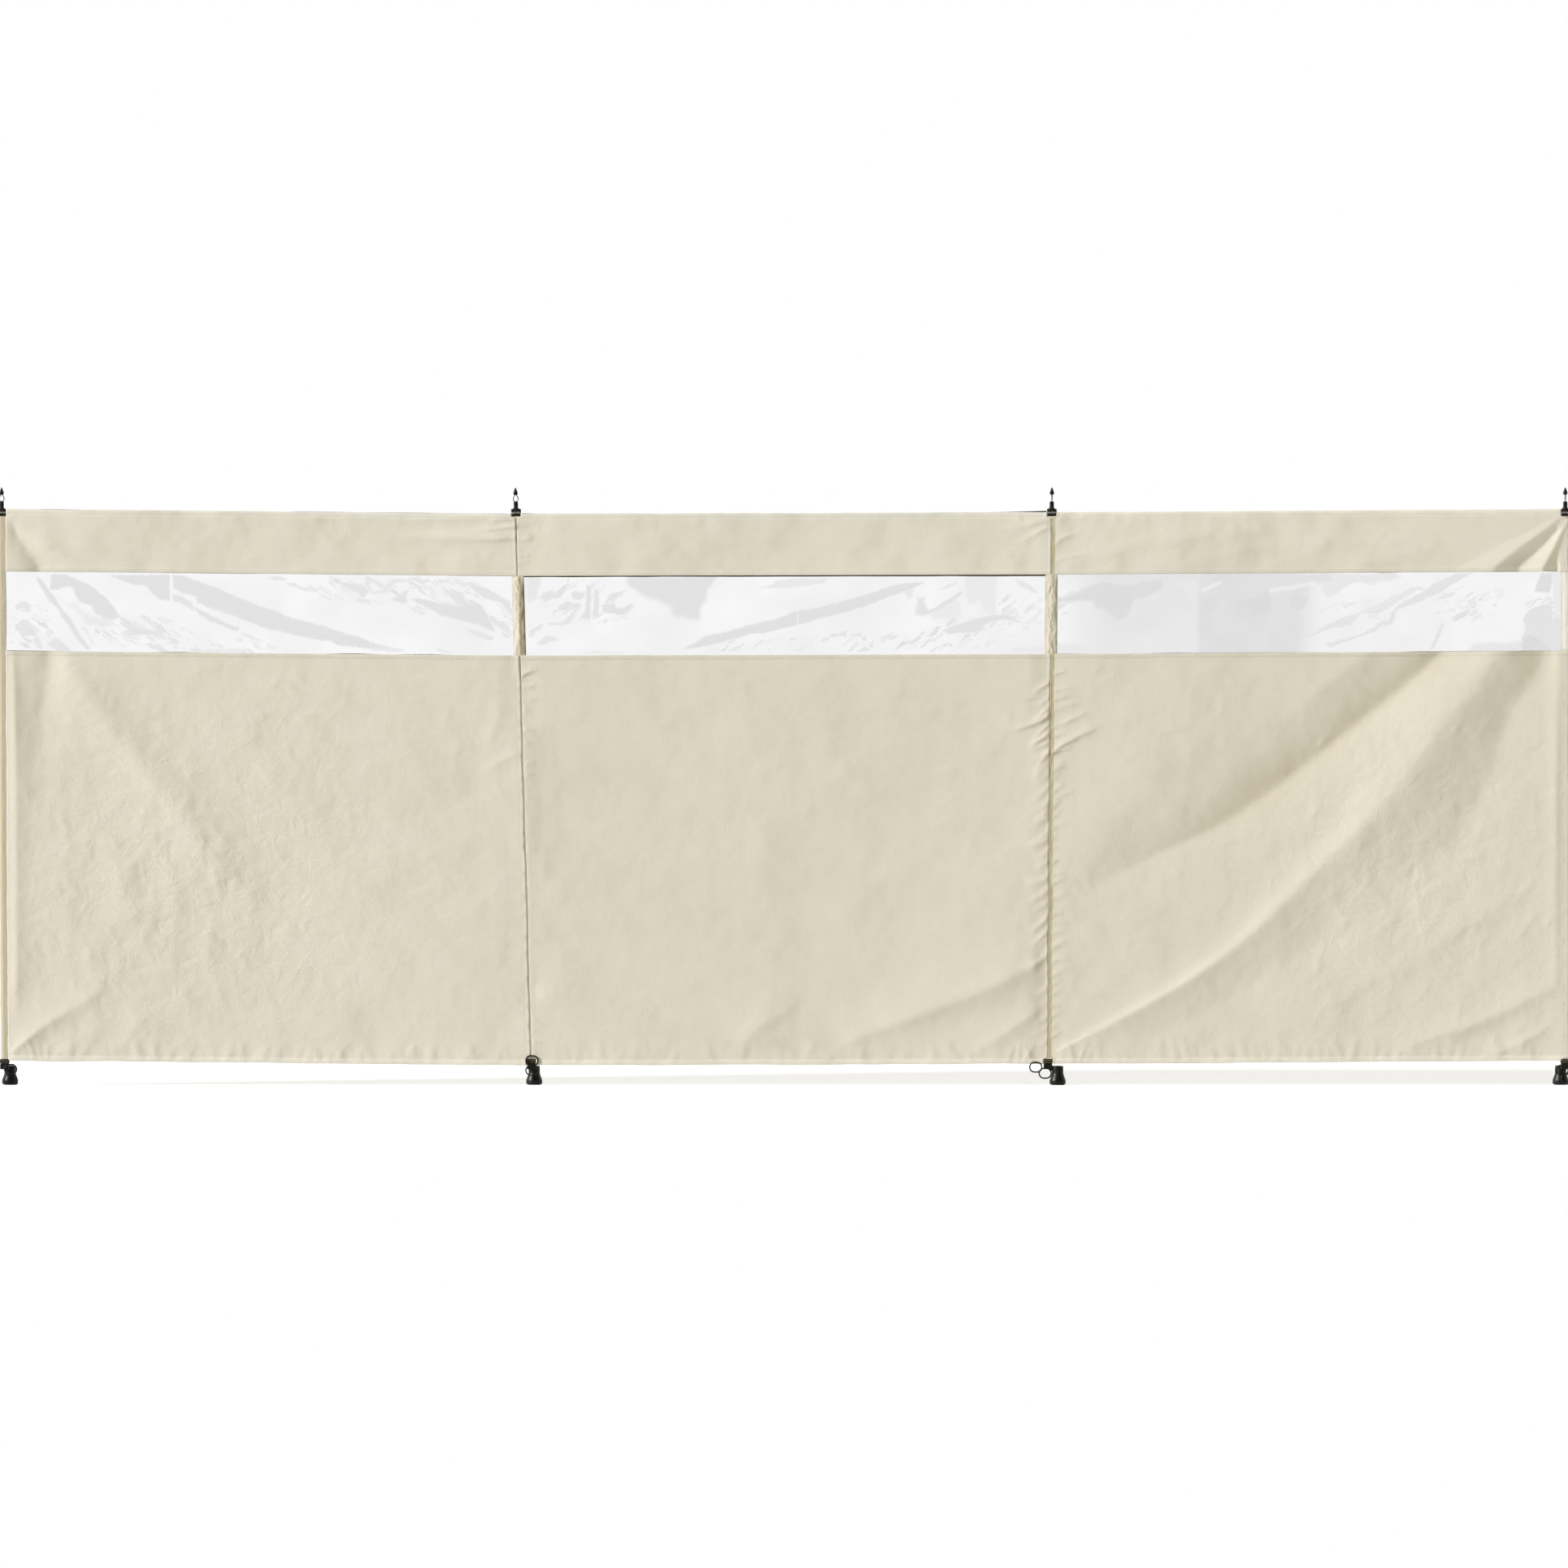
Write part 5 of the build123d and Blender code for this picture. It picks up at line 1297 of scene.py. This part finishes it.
# %% Section of a sleeve
POLE_RADIUS = 8.0
SLEEVE_RADIUS = POLE_RADIUS + 1.3
SLEEVE_THICK = 0.7
SUPPORTS = 720  # directions in which the cloth's reach is worked out
END_SEAM, LAST_END = 9.6, 9.3  # how far an end pole's seam and the wall's right end are from the pole's axis
# Its deep colour is dark, for the painted shade on the sleeves.
sleeve_polyester = woven_polyester("sleeve_woven_polyester", "#E0D7C0", "#86784A")


def tight_outline(reaches, front_y, turns):
    """Distance from the axis, in each direction, of a cloth drawn tight round the pole and its seams."""
    ends = [(reach, front_y) for reach in reaches] + [(reach * 0.98, front_y + 1.2) for reach in reaches]
    support_turns = np.linspace(0, 2 * pi, SUPPORTS, endpoint=False)
    support = np.full(SUPPORTS, SLEEVE_RADIUS)
    for end_x, end_y in ends:
        support = np.maximum(support, end_x * np.cos(support_turns) + end_y * np.sin(support_turns))
    facing = np.cos(support_turns[None, :] - turns[:, None])
    return np.where(facing > 0.02, support / np.maximum(facing, 0.02), 1e9).min(axis=1)


def sleeve_turns(reaches, front_y, count=34):
    """Directions round the pole, with extra ones at the seam edges."""
    turns = list(np.linspace(0, 2 * pi, count, endpoint=False))
    for reach in reaches:
        corner = atan2(front_y, reach) % (2 * pi)
        turns += [corner + step for step in (-0.08, -0.03, 0.0, 0.03, 0.08)]
    return np.unique(np.round(turns, 4))


def sleeve_heights(low, high, window):
    """Heights of a sleeve's rows, closer together beside the window."""
    below, above = np.arange(low + 0.5, window[0] - 12, 10.0), np.arange(window[1] + 14, high - 4, 10.0)
    beside = np.arange(window[0] - 10, window[1] + 10, 4.0)
    return np.concatenate([below, beside, above, [high - 0.5]])


def sleeve_faces(rows, columns):
    """Faces of an outer and an inner skin that are joined at both ends."""
    count = rows * columns
    ring = np.arange(columns)
    onward = np.roll(ring, -1)
    foot_rim = np.stack([onward, ring, ring + count, onward + count], axis=-1)
    top_rim = np.stack([ring, onward, onward + count, ring + count], axis=-1) + (rows - 1) * columns
    outer = grid_faces(rows, columns, loop=True)
    inner = grid_faces(rows, columns, start=count, flip=True, loop=True)
    return np.vstack([outer, inner, foot_rim, top_rim])


print("sleeves", 2 * SLEEVE_RADIUS, "mm across")

# %% Marks of a sleeve
def sleeve_marks(pole, x, row, back, front, gathers, in_window):
    """How much painted shade and painted light each place gets, with random patches of tone. Between the
    windows, painted shade falls on the strip's right half, between its gathers and along its side edges; the
    back is a little darker.
    """
    patches = soft_step(mottle(0 * x, row + 1.5 * x, 34, 65 + pole), -0.3, 0.25)
    # Random patches, and painted shade between the gathers and at the strip's right edge.
    patches_and_painted_shade = 0.05 + 0.34 * patches + 0.3 * (1 - gathers) + 0.15 * soft_step(x, 12.5, 14)
    patches_and_painted_shade *= 1.0 if pole == 1 else 0.6
    # Painted shadow along both side edges of the strip.
    shadow = soft_step(np.abs(x), 12.4, 14.4) * (0.35 + 0.3 * mottle(x, row, 24, 67 + pole))
    shade = 0.1 * back + (patches_and_painted_shade * soft_step(x, -1, 2.5) + 0.06 + shadow) * front * in_window
    if pole in (0, 3):  # painted shade on the end sleeves: upright stripes, and more on the outer side
        outside = x * (pole - 1) > 0
        shade = 0.2 + 0.13 * np.sin(x * 1.1 + 0.4 * mottle(row + 0 * x, x, 90, 61)) * front + 0.15 * outside
    pale = (0.0, 0.45 * soft_step(-x, -1, 3), 0.2, 0.95)[pole] * in_window * front  # painted light beside the film
    return {"tone_and_painted_shade": np.clip(np.tile(shade.ravel(), 2), 0, 1), "paling_and_painted_light": np.tile(pale.ravel(), 2)}


print("marks for", len(POLES), "sleeves")

# %% Make the four sleeves
def make_sleeve(pole):
    """One sleeve: an outer and an inner skin round the pole, joined at both ends."""
    name = f"sleeve_{pole + 1}"
    low, high = (corner[2] * 1000 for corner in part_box(name))
    window = edge_heights(f"window_{max(pole, 1)}")[1 if pole else 0]
    front_y = CLOTH_Y + 0.25 - POLE_Y
    reach = END_SEAM if pole in (0, 3) else STRIP
    seams = [side * reach for side in (-1, 1) if (pole, side) in seam_reaches]
    seams += [LAST_END] if pole == 3 else []
    turns = sleeve_turns(seams, front_y)
    outline = tight_outline(seams + [0.0], front_y, turns)
    heights = sleeve_heights(low, high, window)
    row, across, out = heights[:, None], np.cos(turns), np.sin(turns)
    in_window = soft_step(row, window[0] - 6, window[0] + 8)
    in_window = in_window * (1 - soft_step(row, window[1] - 8, window[1] + 6))
    x, y = outline * across + 0 * row, outline * out + 0 * row
    # The slack behind the pole wrinkles.
    back = soft_step(out, -0.35, 0.3)
    arc = turns * 9.0 + 0 * row
    slack = 0.9 * creased(arc, row, 26, 90 + pole, stretch=0.45) ** 2
    slack += 0.8 * creased(arc, row, 11, 95 + pole) ** 3
    ends = soft_step(row, low, low + 14) * (1 - soft_step(row, high - 14, high))
    x, y = x + across * slack * back * ends, y + out * slack * back * ends
    # The front bulges in gathers, most of all where it shows between two windows.
    front = 1 - soft_step(y, front_y + 0.9, front_y + 3.0)
    bulge = np.clip(1 - np.abs(x / (STRIP + 0.6)) ** np.where(x > 0, 7, 2), 0, 1)
    gathers = creased(x * 2.2, row + 0.8 * x, 15, 99 + pole)
    wrinkled = 1.4 + 2.2 * gathers**2 + 0.8 * mottle(x * 2, row, 21, 60)
    show = np.where((pole == 0) | ((pole == 3) & (x > 4)), 0.22, in_window * (0.22 if pole == 3 else 1.0))
    y = y - front * bulge * wrinkled * show
    centre = axis_x(pole, row)
    skins = [(x, y), (x - SLEEVE_THICK * across, y - SLEEVE_THICK * out)]
    corners = [np.stack([u + centre, v + POLE_Y, row + 0 * x], axis=-1).reshape(-1, 3) for u, v in skins]
    piece = add_mesh(name + "_pocket", np.vstack(corners), sleeve_faces(*x.shape), sleeve_polyester, "cloth",
                     crease=60, marks=sleeve_marks(pole, x, row, back, front, gathers, in_window))
    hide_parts(name)


for pole in POLES:
    make_sleeve(pole)

# %% [markdown]
# # Sewing
# Lockstitch in thick polyester thread holds every hem and seam. Each stitch lies on the cloth between two
# needle holes, so it is made as a small spindle: pointed at both holes and round in the middle. Real
# stitches are three millimetres long and half a millimetre thick. These are drawn thicker and farther apart
# so that they show.

# %% Polyester thread
thread, tree = blank_material("polyester_thread")
place = node(tree, "TexCoord").outputs["Object"]
twist = node(tree, "TexWave", {"Vector": place, "Scale": wave_scale(1.2), "Distortion": 0.6},
             bands_direction="DIAGONAL")
tone = node(tree, "Mix", {0: twist.outputs["Fac"], MIX_A: linear("#CFC7AC"), MIX_B: linear("#E6E0CF")},
            data_type="RGBA")
lay = node(tree, "Bump", {"Height": twist.outputs["Fac"], "Strength": 0.4, "Distance": 0.0002})
strand = node(tree, "BsdfPrincipled", {"Base Color": tone.outputs[MIXED], "Roughness": 0.6,
                                       "Sheen Weight": 0.2, "Normal": lay})
node(tree, "OutputMaterial", {"Surface": strand})
print(thread.name, "made")

# %% Rows of stitches
STITCH, PITCH, THREAD_RADIUS = 3.3, 5.4, 0.42  # length of a stitch, from one to the next, and half its width


def stitches(x, z, y_of):
    """Corners and faces of the stitches along a path; y_of gives the cloth's front skin."""
    run = np.hypot(np.diff(x), np.diff(z))
    far = np.concatenate([[0.0], np.cumsum(run)])
    middles = np.arange(PITCH / 2, far[-1], PITCH)
    places = [middles + half * STITCH / 2 for half in (-1, 0, 1)]
    ends = [(np.interp(place, far, x), np.interp(place, far, z)) for place in places]
    start, centre, stop = (np.stack([u, y_of(u, v), v], axis=-1) for u, v in ends)
    along = stop - start
    along /= np.linalg.norm(along, axis=1, keepdims=True)
    aside = np.cross(along, [0.0, 1.0, 0.0])
    aside *= THREAD_RADIUS / np.maximum(np.linalg.norm(aside, axis=1, keepdims=True), 1e-6)
    out = np.array([0.0, -THREAD_RADIUS, 0.0])
    waist = [centre + aside, centre + out * 1.3, centre - aside, centre - out]
    corners = np.stack([start, *waist, stop], axis=1)
    spindle = np.array([(0, 1, 2), (0, 2, 3), (0, 3, 4), (0, 4, 1),
                        (5, 2, 1), (5, 3, 2), (5, 4, 3), (5, 1, 4)])
    faces = (spindle[None] + 6 * np.arange(len(middles))[:, None, None]).reshape(-1, 3)
    return corners.reshape(-1, 3), faces


def skin(bay, thick):
    """A function that gives y of a panel's front skin."""
    return lambda x, z: cloth_middle(x, z) - seam_shape(bay, x, z) - thick / 2 + 0.1


def join(parts):
    """One set of corners and faces from many."""
    corners, faces, count = [], [], 0
    for some_corners, some_faces in parts:
        corners.append(some_corners)
        faces.append(some_faces + count)
        count += len(some_corners)
    return np.vstack(corners), np.vstack(faces)


def hem_stitches(bay, ends, top):
    """The row of stitches along a panel's upper or lower hem."""
    pick, side = (1, -1) if top else (0, 1)
    level = [end[pick] + side * (HEM - 1.7) for end in ends]
    first, last = seam_x(bay, 1, np.array(level[:1]))[0], seam_x(bay + 1, -1, np.array(level[1:]))[0]
    x = np.linspace(first + 2, last - 2, 900)
    return stitches(x, np.interp(x, [first, last], level), skin(bay, THIN + TURNED))


def seam_stitches(bay, pole, side, end):
    """The row of stitches that holds a panel to the sleeve beside it, between the bands."""
    away = 4.0 if pole in (0, 3) else STRIP - 2.0
    z = np.linspace(max(end[0] + 12, foot_band_top + 6), min(end[1] - 12, top_band_low - 6), 400)
    return stitches(seam_x(pole, side, z) + side * away, z, skin(bay, THIN))


for bay in BAYS:
    rows = []
    for kind in ("lower", "upper"):
        ends = edge_heights(f"{kind}_cloth_{bay + 1}")
        rows += [hem_stitches(bay, ends, top) for top in (False, True)]
        rows += [seam_stitches(bay, bay, 1, ends[0]), seam_stitches(bay, bay + 1, -1, ends[1])]
    sewn = add_mesh(f"stitches_{bay + 1}", *join(rows), thread, "cloth", crease=80)
    print(sewn.name, len(sewn.data.polygons) // 8, "stitches")

# %% [markdown]
# Seam cord, hem tape and shadow strips
# The two panels that meet on a pole are joined over a thin brown cord, darker than the cloth, which shows as
# a dark line in the groove: a real cord that also stands in for the groove's shade, as painted shade.
# A strip of dark tape runs inside the top hems and peeps out past them, most of all beside the two middle
# poles. The last bay's top hem hides its tape, so none is made there. Strips of the same dark tape peep out
# past the cloth above and below each window, as painted shadow of the gap between film and cloth.

# %% Cord in the groove
# The cord is darker than the cloth, so it also gives the groove's painted shade.
cord_as_groove_shade = woven_polyester("seam_cord_with_groove_shade", "#B5AA8C", "#8C8163", threads=1.5, through=0.0)


def tube_along(x, y, z, radius, sides=6):
    """Corners and faces of a thin round tube through points that run upwards; its ends are left open."""
    turns = np.linspace(0, 2 * pi, sides, endpoint=False)
    ring = np.stack([np.cos(turns), np.sin(turns), 0 * turns], axis=-1)
    radius = np.broadcast_to(radius, x.shape)[:, None, None]
    corners = (np.stack([x, y, z], axis=-1)[:, None, :] + ring * radius).reshape(-1, 3)
    return corners, grid_faces(len(x), sides, loop=True)


cords = []
for pole in (1, 2):
    window = edge_heights(f"window_{pole}")[1]
    for low, high in ((foot_band_top + 3, window[0] - 2), (window[1] + 2, top_band_low - 3)):
        z = np.arange(low, high, 4.0)
        x = (seam_x(pole, -1, z) + seam_x(pole, 1, z)) / 2
        x = x + (1.6 if pole == 2 else 0.0)  # on the third pole it lies right of the groove, as part of the painted shade there
        y = CLOTH_Y - FORWARD + 0.1 + 0 * z
        cords.append(tube_along(x, y, z, 0.55 + 0.2 * mottle(z, 0 * z, 28, 110 + pole)))
cord = add_mesh("seam_cords", *join(cords), cord_as_groove_shade, "webbing", crease=80)
print(cord.name, len(cord.data.polygons), "faces")

# %% Tape inside the hems, and painted shadow strips at the windows
# The same dark tape makes the painted shadow strips beside the windows.
dark_tape_and_shadow_strip = woven_polyester("dark_hem_tape_and_shadow_strip", "#4A4433", "#2B271C", threads=1.5, through=0.0)


def tape(name, bay, kind, top, show, width=8.0):
    """A strip behind a panel's upper or lower hem that peeps out past its edge by show(x) millimetres."""
    x = np.linspace(axis_x(bay, 1400) + 14, axis_x(bay + 1, 1400) - 13, 261)
    edge = hem_height(bay, kind, top, x)
    out = 1 if top else -1
    rows = np.array([1.0, 0.7, 0.5, 0.3, 0.0]) if top else np.array([0.0, 0.3, 0.5, 0.7, 1.0])
    z = edge + out * (show(x) - width * rows[:, None])
    x = x + 0 * z
    middle = cloth_middle(x, np.clip(z, edge.min() - 30, edge.max() + 1)) + 1.55
    return closed_sheet(name, x, middle - 0.25, middle + 0.25, z, dark_tape_and_shadow_strip, "webbing")


def near_end(x, place, reach):
    """1 at a place along the wall, falling to 0 over a reach."""
    return np.exp(-np.abs(x - place) / reach)


def patchy(x, seed, size=90.0):
    """From -1 to 1 along the wall, in stretches of about a size."""
    return mottle(x, 0 * x, size, seed)


tapes = [
    tape("hem_tape_1", 0, "upper", True, lambda x: 0.2 + 0.6 * patchy(x, 120, 70)),
    tape("hem_tape_2", 1, "upper", True,
         lambda x: -0.6 + 2.6 * near_end(x, axis_x(1, 1450), 70) + 4.6 * near_end(x, axis_x(2, 1450), 130)),
    tape("window_top_shadow_strip_1", 0, "upper", False, lambda x: -0.2 + 0.9 * patchy(x, 122)),
    tape("window_top_shadow_strip_2", 1, "upper", False,
         lambda x: 2.6 + 1.4 * near_end(x, axis_x(2, 1290), 500) + 0.5 * patchy(x, 121, 60)),
    tape("window_top_shadow_strip_3", 2, "upper", False, lambda x: -0.5 + 1.0 * patchy(x, 123)),
]
tapes += [tape(f"window_foot_shadow_strip_{bay + 1}", bay, "lower", True,
               lambda x: (0.5, -0.4, 0.3)[bay] + 1.1 * patchy(x, 124 + bay)) for bay in BAYS]
print(len(tapes), "tapes")

# %% [markdown]
# # Webbing bands
# A band of heavy black-brown webbing closes the sleeve at each end and grips the pole. Webbing is woven
# much thicker than cloth, with a rounded edge and ribs along it. Two paler stripes are woven into the bands
# at the feet, and a zigzag of pale thread is sewn along the ones at the pole tops.

# %% Woven webbing
RIB = 1.6  # from one rib to the next


def woven_webbing(name, thread, sewn):
    """Ribbed webbing with two pale stripes woven in, or a zigzag sewn on; the mark across spans it."""
    material, tree = blank_material(name)
    place = node(tree, "TexCoord").outputs["Object"]
    across = node(tree, "Attribute", attribute_name="across")
    if sewn:
        along = node(tree, "SeparateXYZ", {0: place})
        zigzag = node(tree, "Math", {0: along.outputs["X"], 1: 0.0032}, operation="PINGPONG")
        zigzag = node(tree, "Math", {0: zigzag, 1: 70.0, 2: 0.36}, operation="MULTIPLY_ADD")
        stripe = node(tree, "Math", {0: across.outputs["Fac"], 1: zigzag, 2: 0.06}, operation="COMPARE")
    else:
        stripe = node(tree, "Math", {0: across.outputs["Fac"], 1: 0.5}, operation="SUBTRACT")
        stripe = node(tree, "Math", {0: stripe}, operation="ABSOLUTE")
        stripe = node(tree, "Math", {0: stripe, 1: 0.22, 2: 0.075}, operation="COMPARE")
    picks = node(tree, "TexWave", {"Vector": place, "Scale": wave_scale(RIB), "Distortion": 0.5,
                                   "Detail": 1.0}, bands_direction="X")
    fuzz = node(tree, "TexNoise", {"Vector": place, "Scale": noise_scale(2.5), "Detail": 4.0})
    pale = node(tree, "Math", {0: stripe, 1: fuzz.outputs["Fac"]}, operation="MULTIPLY")
    tone = node(tree, "Mix", {0: pale, MIX_A: linear("#15130D"), MIX_B: linear(thread)}, data_type="RGBA")
    relief = node(tree, "Math", {0: fuzz.outputs["Fac"], 1: picks.outputs["Fac"]}, operation="ADD")
    bump = node(tree, "Bump", {"Height": relief, "Strength": 0.6, "Distance": 0.0005})
    cloth = node(tree, "BsdfPrincipled", {
        "Base Color": tone.outputs[MIXED], "Roughness": 0.75, "Specular IOR Level": 0.15, "Sheen Weight": 0.1,
        "Normal": bump,
    })
    node(tree, "OutputMaterial", {"Surface": cloth})
    return material


striped_webbing = woven_webbing("striped_black_webbing", "#7A7052", sewn=False)
sewn_webbing = woven_webbing("sewn_black_webbing", "#D8D6CC", sewn=True)
print(striped_webbing.name, "and", sewn_webbing.name, "made")

# %% Closed bands
BAND_THICK = 2.0
SECTION_POINTS = 13  # corners over the width of a band, on each of its skins
POINT_GAP = 2.5  # about how far apart the corners along a band's straight sides are


def pole_frame(pole, height):
    """The middle of a pole at a height, and the directions across it and up it."""
    foot, top = axes[pole]
    up = Vector(top - foot).normalized()
    across = Vector((up.z, 0, -up.x)).normalized()
    return Vector((axis_x(pole, height), POLE_Y, height)), across, up


def rounded_box(half_x, half_y, corner, per_corner=7):
    """Points of a rectangle with round corners, and the way out at each."""
    points, ways = [], []
    for quarter, (side_x, side_y) in enumerate(((1, 1), (-1, 1), (-1, -1), (1, -1))):
        for turn in np.linspace(0, pi / 2, per_corner) + quarter * pi / 2:
            points.append((side_x * (half_x - corner) + corner * cos(turn),
                           side_y * (half_y - corner) + corner * sin(turn)))
            ways.append((cos(turn), sin(turn)))
    filled, filled_ways = [], []
    points, ways = np.array(points), np.array(ways)
    for here, there, way, next_way in zip(points, np.roll(points, -1, 0), ways, np.roll(ways, -1, 0)):
        parts = max(1, int(np.hypot(*(there - here)) / POINT_GAP))
        for part in range(parts):
            filled.append(here + (there - here) * part / parts)
            filled_ways.append(way + (next_way - way) * part / parts)
    return np.array(filled), np.array(filled_ways)


def band_section():
    """The section of a band: shares of its width, and how far each place is from its outer face."""
    turns = np.linspace(0, 1, SECTION_POINTS)
    round_edge = np.sqrt(np.clip(1 - np.abs(2 * turns - 1) ** 6, 0, 1))
    ribs = 0.16 * np.abs(np.sin(turns * pi * 5))
    outside = (round_edge - 1) * 0.9 + ribs - 0.15
    inside = -BAND_THICK - (round_edge[::-1] - 1) * 0.9
    return np.concatenate([turns, turns[::-1]]), np.concatenate([outside, inside])


def make_band(node_name, pole):
    """One webbing band round a pole, in the place of its CAD part."""
    low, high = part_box(node_name)
    half_x, half_y = (high[0] - low[0]) * 500 - 0.35, (high[1] - low[1]) * 500 - 0.05
    tall = (high[2] - low[2]) * 1000 - 1.0
    centre, across, up = pole_frame(pole, (low[2] + high[2]) * 500)
    outline, ways = rounded_box(half_x, half_y, 4.2)
    levels, outs = band_section()
    corners = []
    for point, way in zip(outline, ways):
        sag = 0.3 * sin(point[0] * 0.5 + pole)
        for level, out in zip(levels, outs):
            flat = point + way * out
            rise = (level - 0.5) * tall + sag
            corners.append(tuple(centre + across * flat[0] + Vector((0, 1, 0)) * flat[1] + up * rise))
    rows, columns = len(outline), len(levels)
    closed = np.arange(rows * columns).reshape(rows, columns)
    closed = np.vstack([closed, closed[:1]])
    closed = np.hstack([closed, closed[:, :1]])
    quads = np.stack([closed[:-1, :-1], closed[1:, :-1], closed[1:, 1:], closed[:-1, 1:]], axis=-1)
    faces = quads.reshape(-1, 4)
    webbing = striped_webbing if node_name.startswith("foot") else sewn_webbing
    band = add_mesh(node_name + "_webbing", np.array(corners), faces, webbing, "webbing", crease=50,
                    marks={"across": np.tile(levels, rows)})
    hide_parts(node_name)
    return band


bands = [make_band(f"{end}_band_{pole + 1}", pole) for end in ("foot", "top") for pole in POLES]
print(len(bands), "webbing bands")

# %% [markdown]
# # Mouldings and metal
# The feet, rings, collars and caps are injection-moulded nylon, filled with carbon black and slightly
# satin. Moulded parts have no sharp edges, because plastic doesn't fill them, so a remesh and a smooth
# soften the solid model's corners. The same is done, finer, to the drawn and plated steel eye pins. The
# poles are zinc-coated steel tube.

# %% Black moulded nylon
black_nylon, tree = blank_material("black_moulded_nylon")
place = node(tree, "TexCoord").outputs["Object"]
spark = node(tree, "TexNoise", {"Vector": place, "Scale": noise_scale(0.9), "Detail": 4.0, "Roughness": 0.65})
dust = node(tree, "TexNoise", {"Vector": place, "Scale": noise_scale(14.0), "Detail": 6.0, "Roughness": 0.7})
worn = node(tree, "MapRange", {0: dust.outputs["Fac"], 1: 0.52, 2: 0.78, 3: 0.0, 4: 0.5})
tone = node(tree, "Mix", {0: worn, MIX_A: linear("#0B0B0B"), MIX_B: linear("#24221F")}, data_type="RGBA")
satin = node(tree, "MapRange", {0: dust.outputs["Fac"], 1: 0.3, 2: 0.75, 3: 0.30, 4: 0.5})
bump = node(tree, "Bump", {"Height": spark.outputs["Fac"], "Strength": 0.25, "Distance": 0.00025})
nylon = node(tree, "BsdfPrincipled", {"Base Color": tone.outputs[MIXED], "Roughness": satin,
                                      "IOR": 1.5, "Specular IOR Level": 0.3, "Normal": bump})
node(tree, "OutputMaterial", {"Surface": nylon})
print(black_nylon.name, "made")

# %% Bright zinc-plated steel
plated_steel, tree = blank_material("bright_plated_steel")
place = node(tree, "TexCoord").outputs["Object"]
brushed = node(tree, "TexNoise", {"Vector": place, "Scale": noise_scale(3.0), "Detail": 5.0})
shine = node(tree, "MapRange", {0: brushed.outputs["Fac"], 1: 0.3, 2: 0.7, 3: 0.14, 4: 0.26})
tone = node(tree, "Mix", {0: brushed.outputs["Fac"], MIX_A: linear("#C2C3C4"), MIX_B: linear("#DADBDC")},
            data_type="RGBA")
bump = node(tree, "Bump", {"Height": brushed.outputs["Fac"], "Strength": 0.15, "Distance": 0.0002})
steel = node(tree, "BsdfPrincipled", {"Base Color": tone.outputs[MIXED], "Metallic": 1.0,
                                      "Roughness": shine, "Normal": bump})
node(tree, "OutputMaterial", {"Surface": steel})
print(plated_steel.name, "made")

# %% Galvanised steel tube
zinc_tube, tree = blank_material("galvanised_steel_tube")
place = node(tree, "TexCoord").outputs["Object"]
spangle = node(tree, "TexVoronoi", {"Vector": place, "Scale": noise_scale(7.0)})
frost = node(tree, "TexNoise", {"Vector": place, "Scale": noise_scale(2.0), "Detail": 4.0})
tone = node(tree, "Mix", {0: spangle.outputs["Color"], MIX_A: linear("#A3A6A8"), MIX_B: linear("#C4C7C8")},
            data_type="RGBA")
dull = node(tree, "MapRange", {0: frost.outputs["Fac"], 1: 0.3, 2: 0.7, 3: 0.34, 4: 0.52})
zinc = node(tree, "BsdfPrincipled", {"Base Color": tone.outputs[MIXED], "Metallic": 1.0, "Roughness": dull})
node(tree, "OutputMaterial", {"Surface": zinc})
print(zinc_tube.name, "made")

# %% Give the carried-over parts their finishes and soft edges
def finish_part(name, material, voxel=0.0, smooth=3, keep=0.5):
    """Sets a CAD part's finish. A voxel size, in millimetres, also rounds its edges by a remesh."""
    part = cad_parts[name]
    part.data.materials.clear()
    part.data.materials.append(material)
    if voxel:
        remesh = part.modifiers.new("fill_and_soften", "REMESH")
        remesh.mode, remesh.voxel_size, remesh.use_smooth_shade = "VOXEL", voxel / 1000, True
        soften = part.modifiers.new("soften", "SMOOTH")
        soften.factor, soften.iterations = 0.5, smooth
        thin = part.modifiers.new("fewer_faces", "DECIMATE")
        thin.ratio = keep


for pole in POLES:
    finish_part(f"foot_{pole + 1}", black_nylon, voxel=0.9, smooth=4, keep=0.3)
    finish_part(f"peg_rings_{pole + 1}", black_nylon, voxel=0.5, smooth=4, keep=0.35)
    finish_part(f"collar_{pole + 1}", black_nylon, voxel=0.5, smooth=3, keep=0.4)
    finish_part(f"tip_cap_{pole + 1}", black_nylon, voxel=0.4, smooth=3, keep=0.4)
    finish_part(f"eye_pin_{pole + 1}", plated_steel, voxel=0.3, smooth=3, keep=0.4)
    finish_part(f"pole_{pole + 1}", zinc_tube)
print("mouldings and steel finished")

# %% [markdown]
# The sheets may stand a little proud of the flat panels they replace. Both boxes are printed, so that they
# can be compared.

# %% Print both boxes
looks_box = [list(corner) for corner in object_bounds()]
for title, box in (("CAD", cad_box), ("looks", looks_box)):
    print(title, [[round(value, 4) for value in corner] for corner in box])
bpy.context.scene.view_settings.view_transform = "Standard"  # colours are shown as they are written
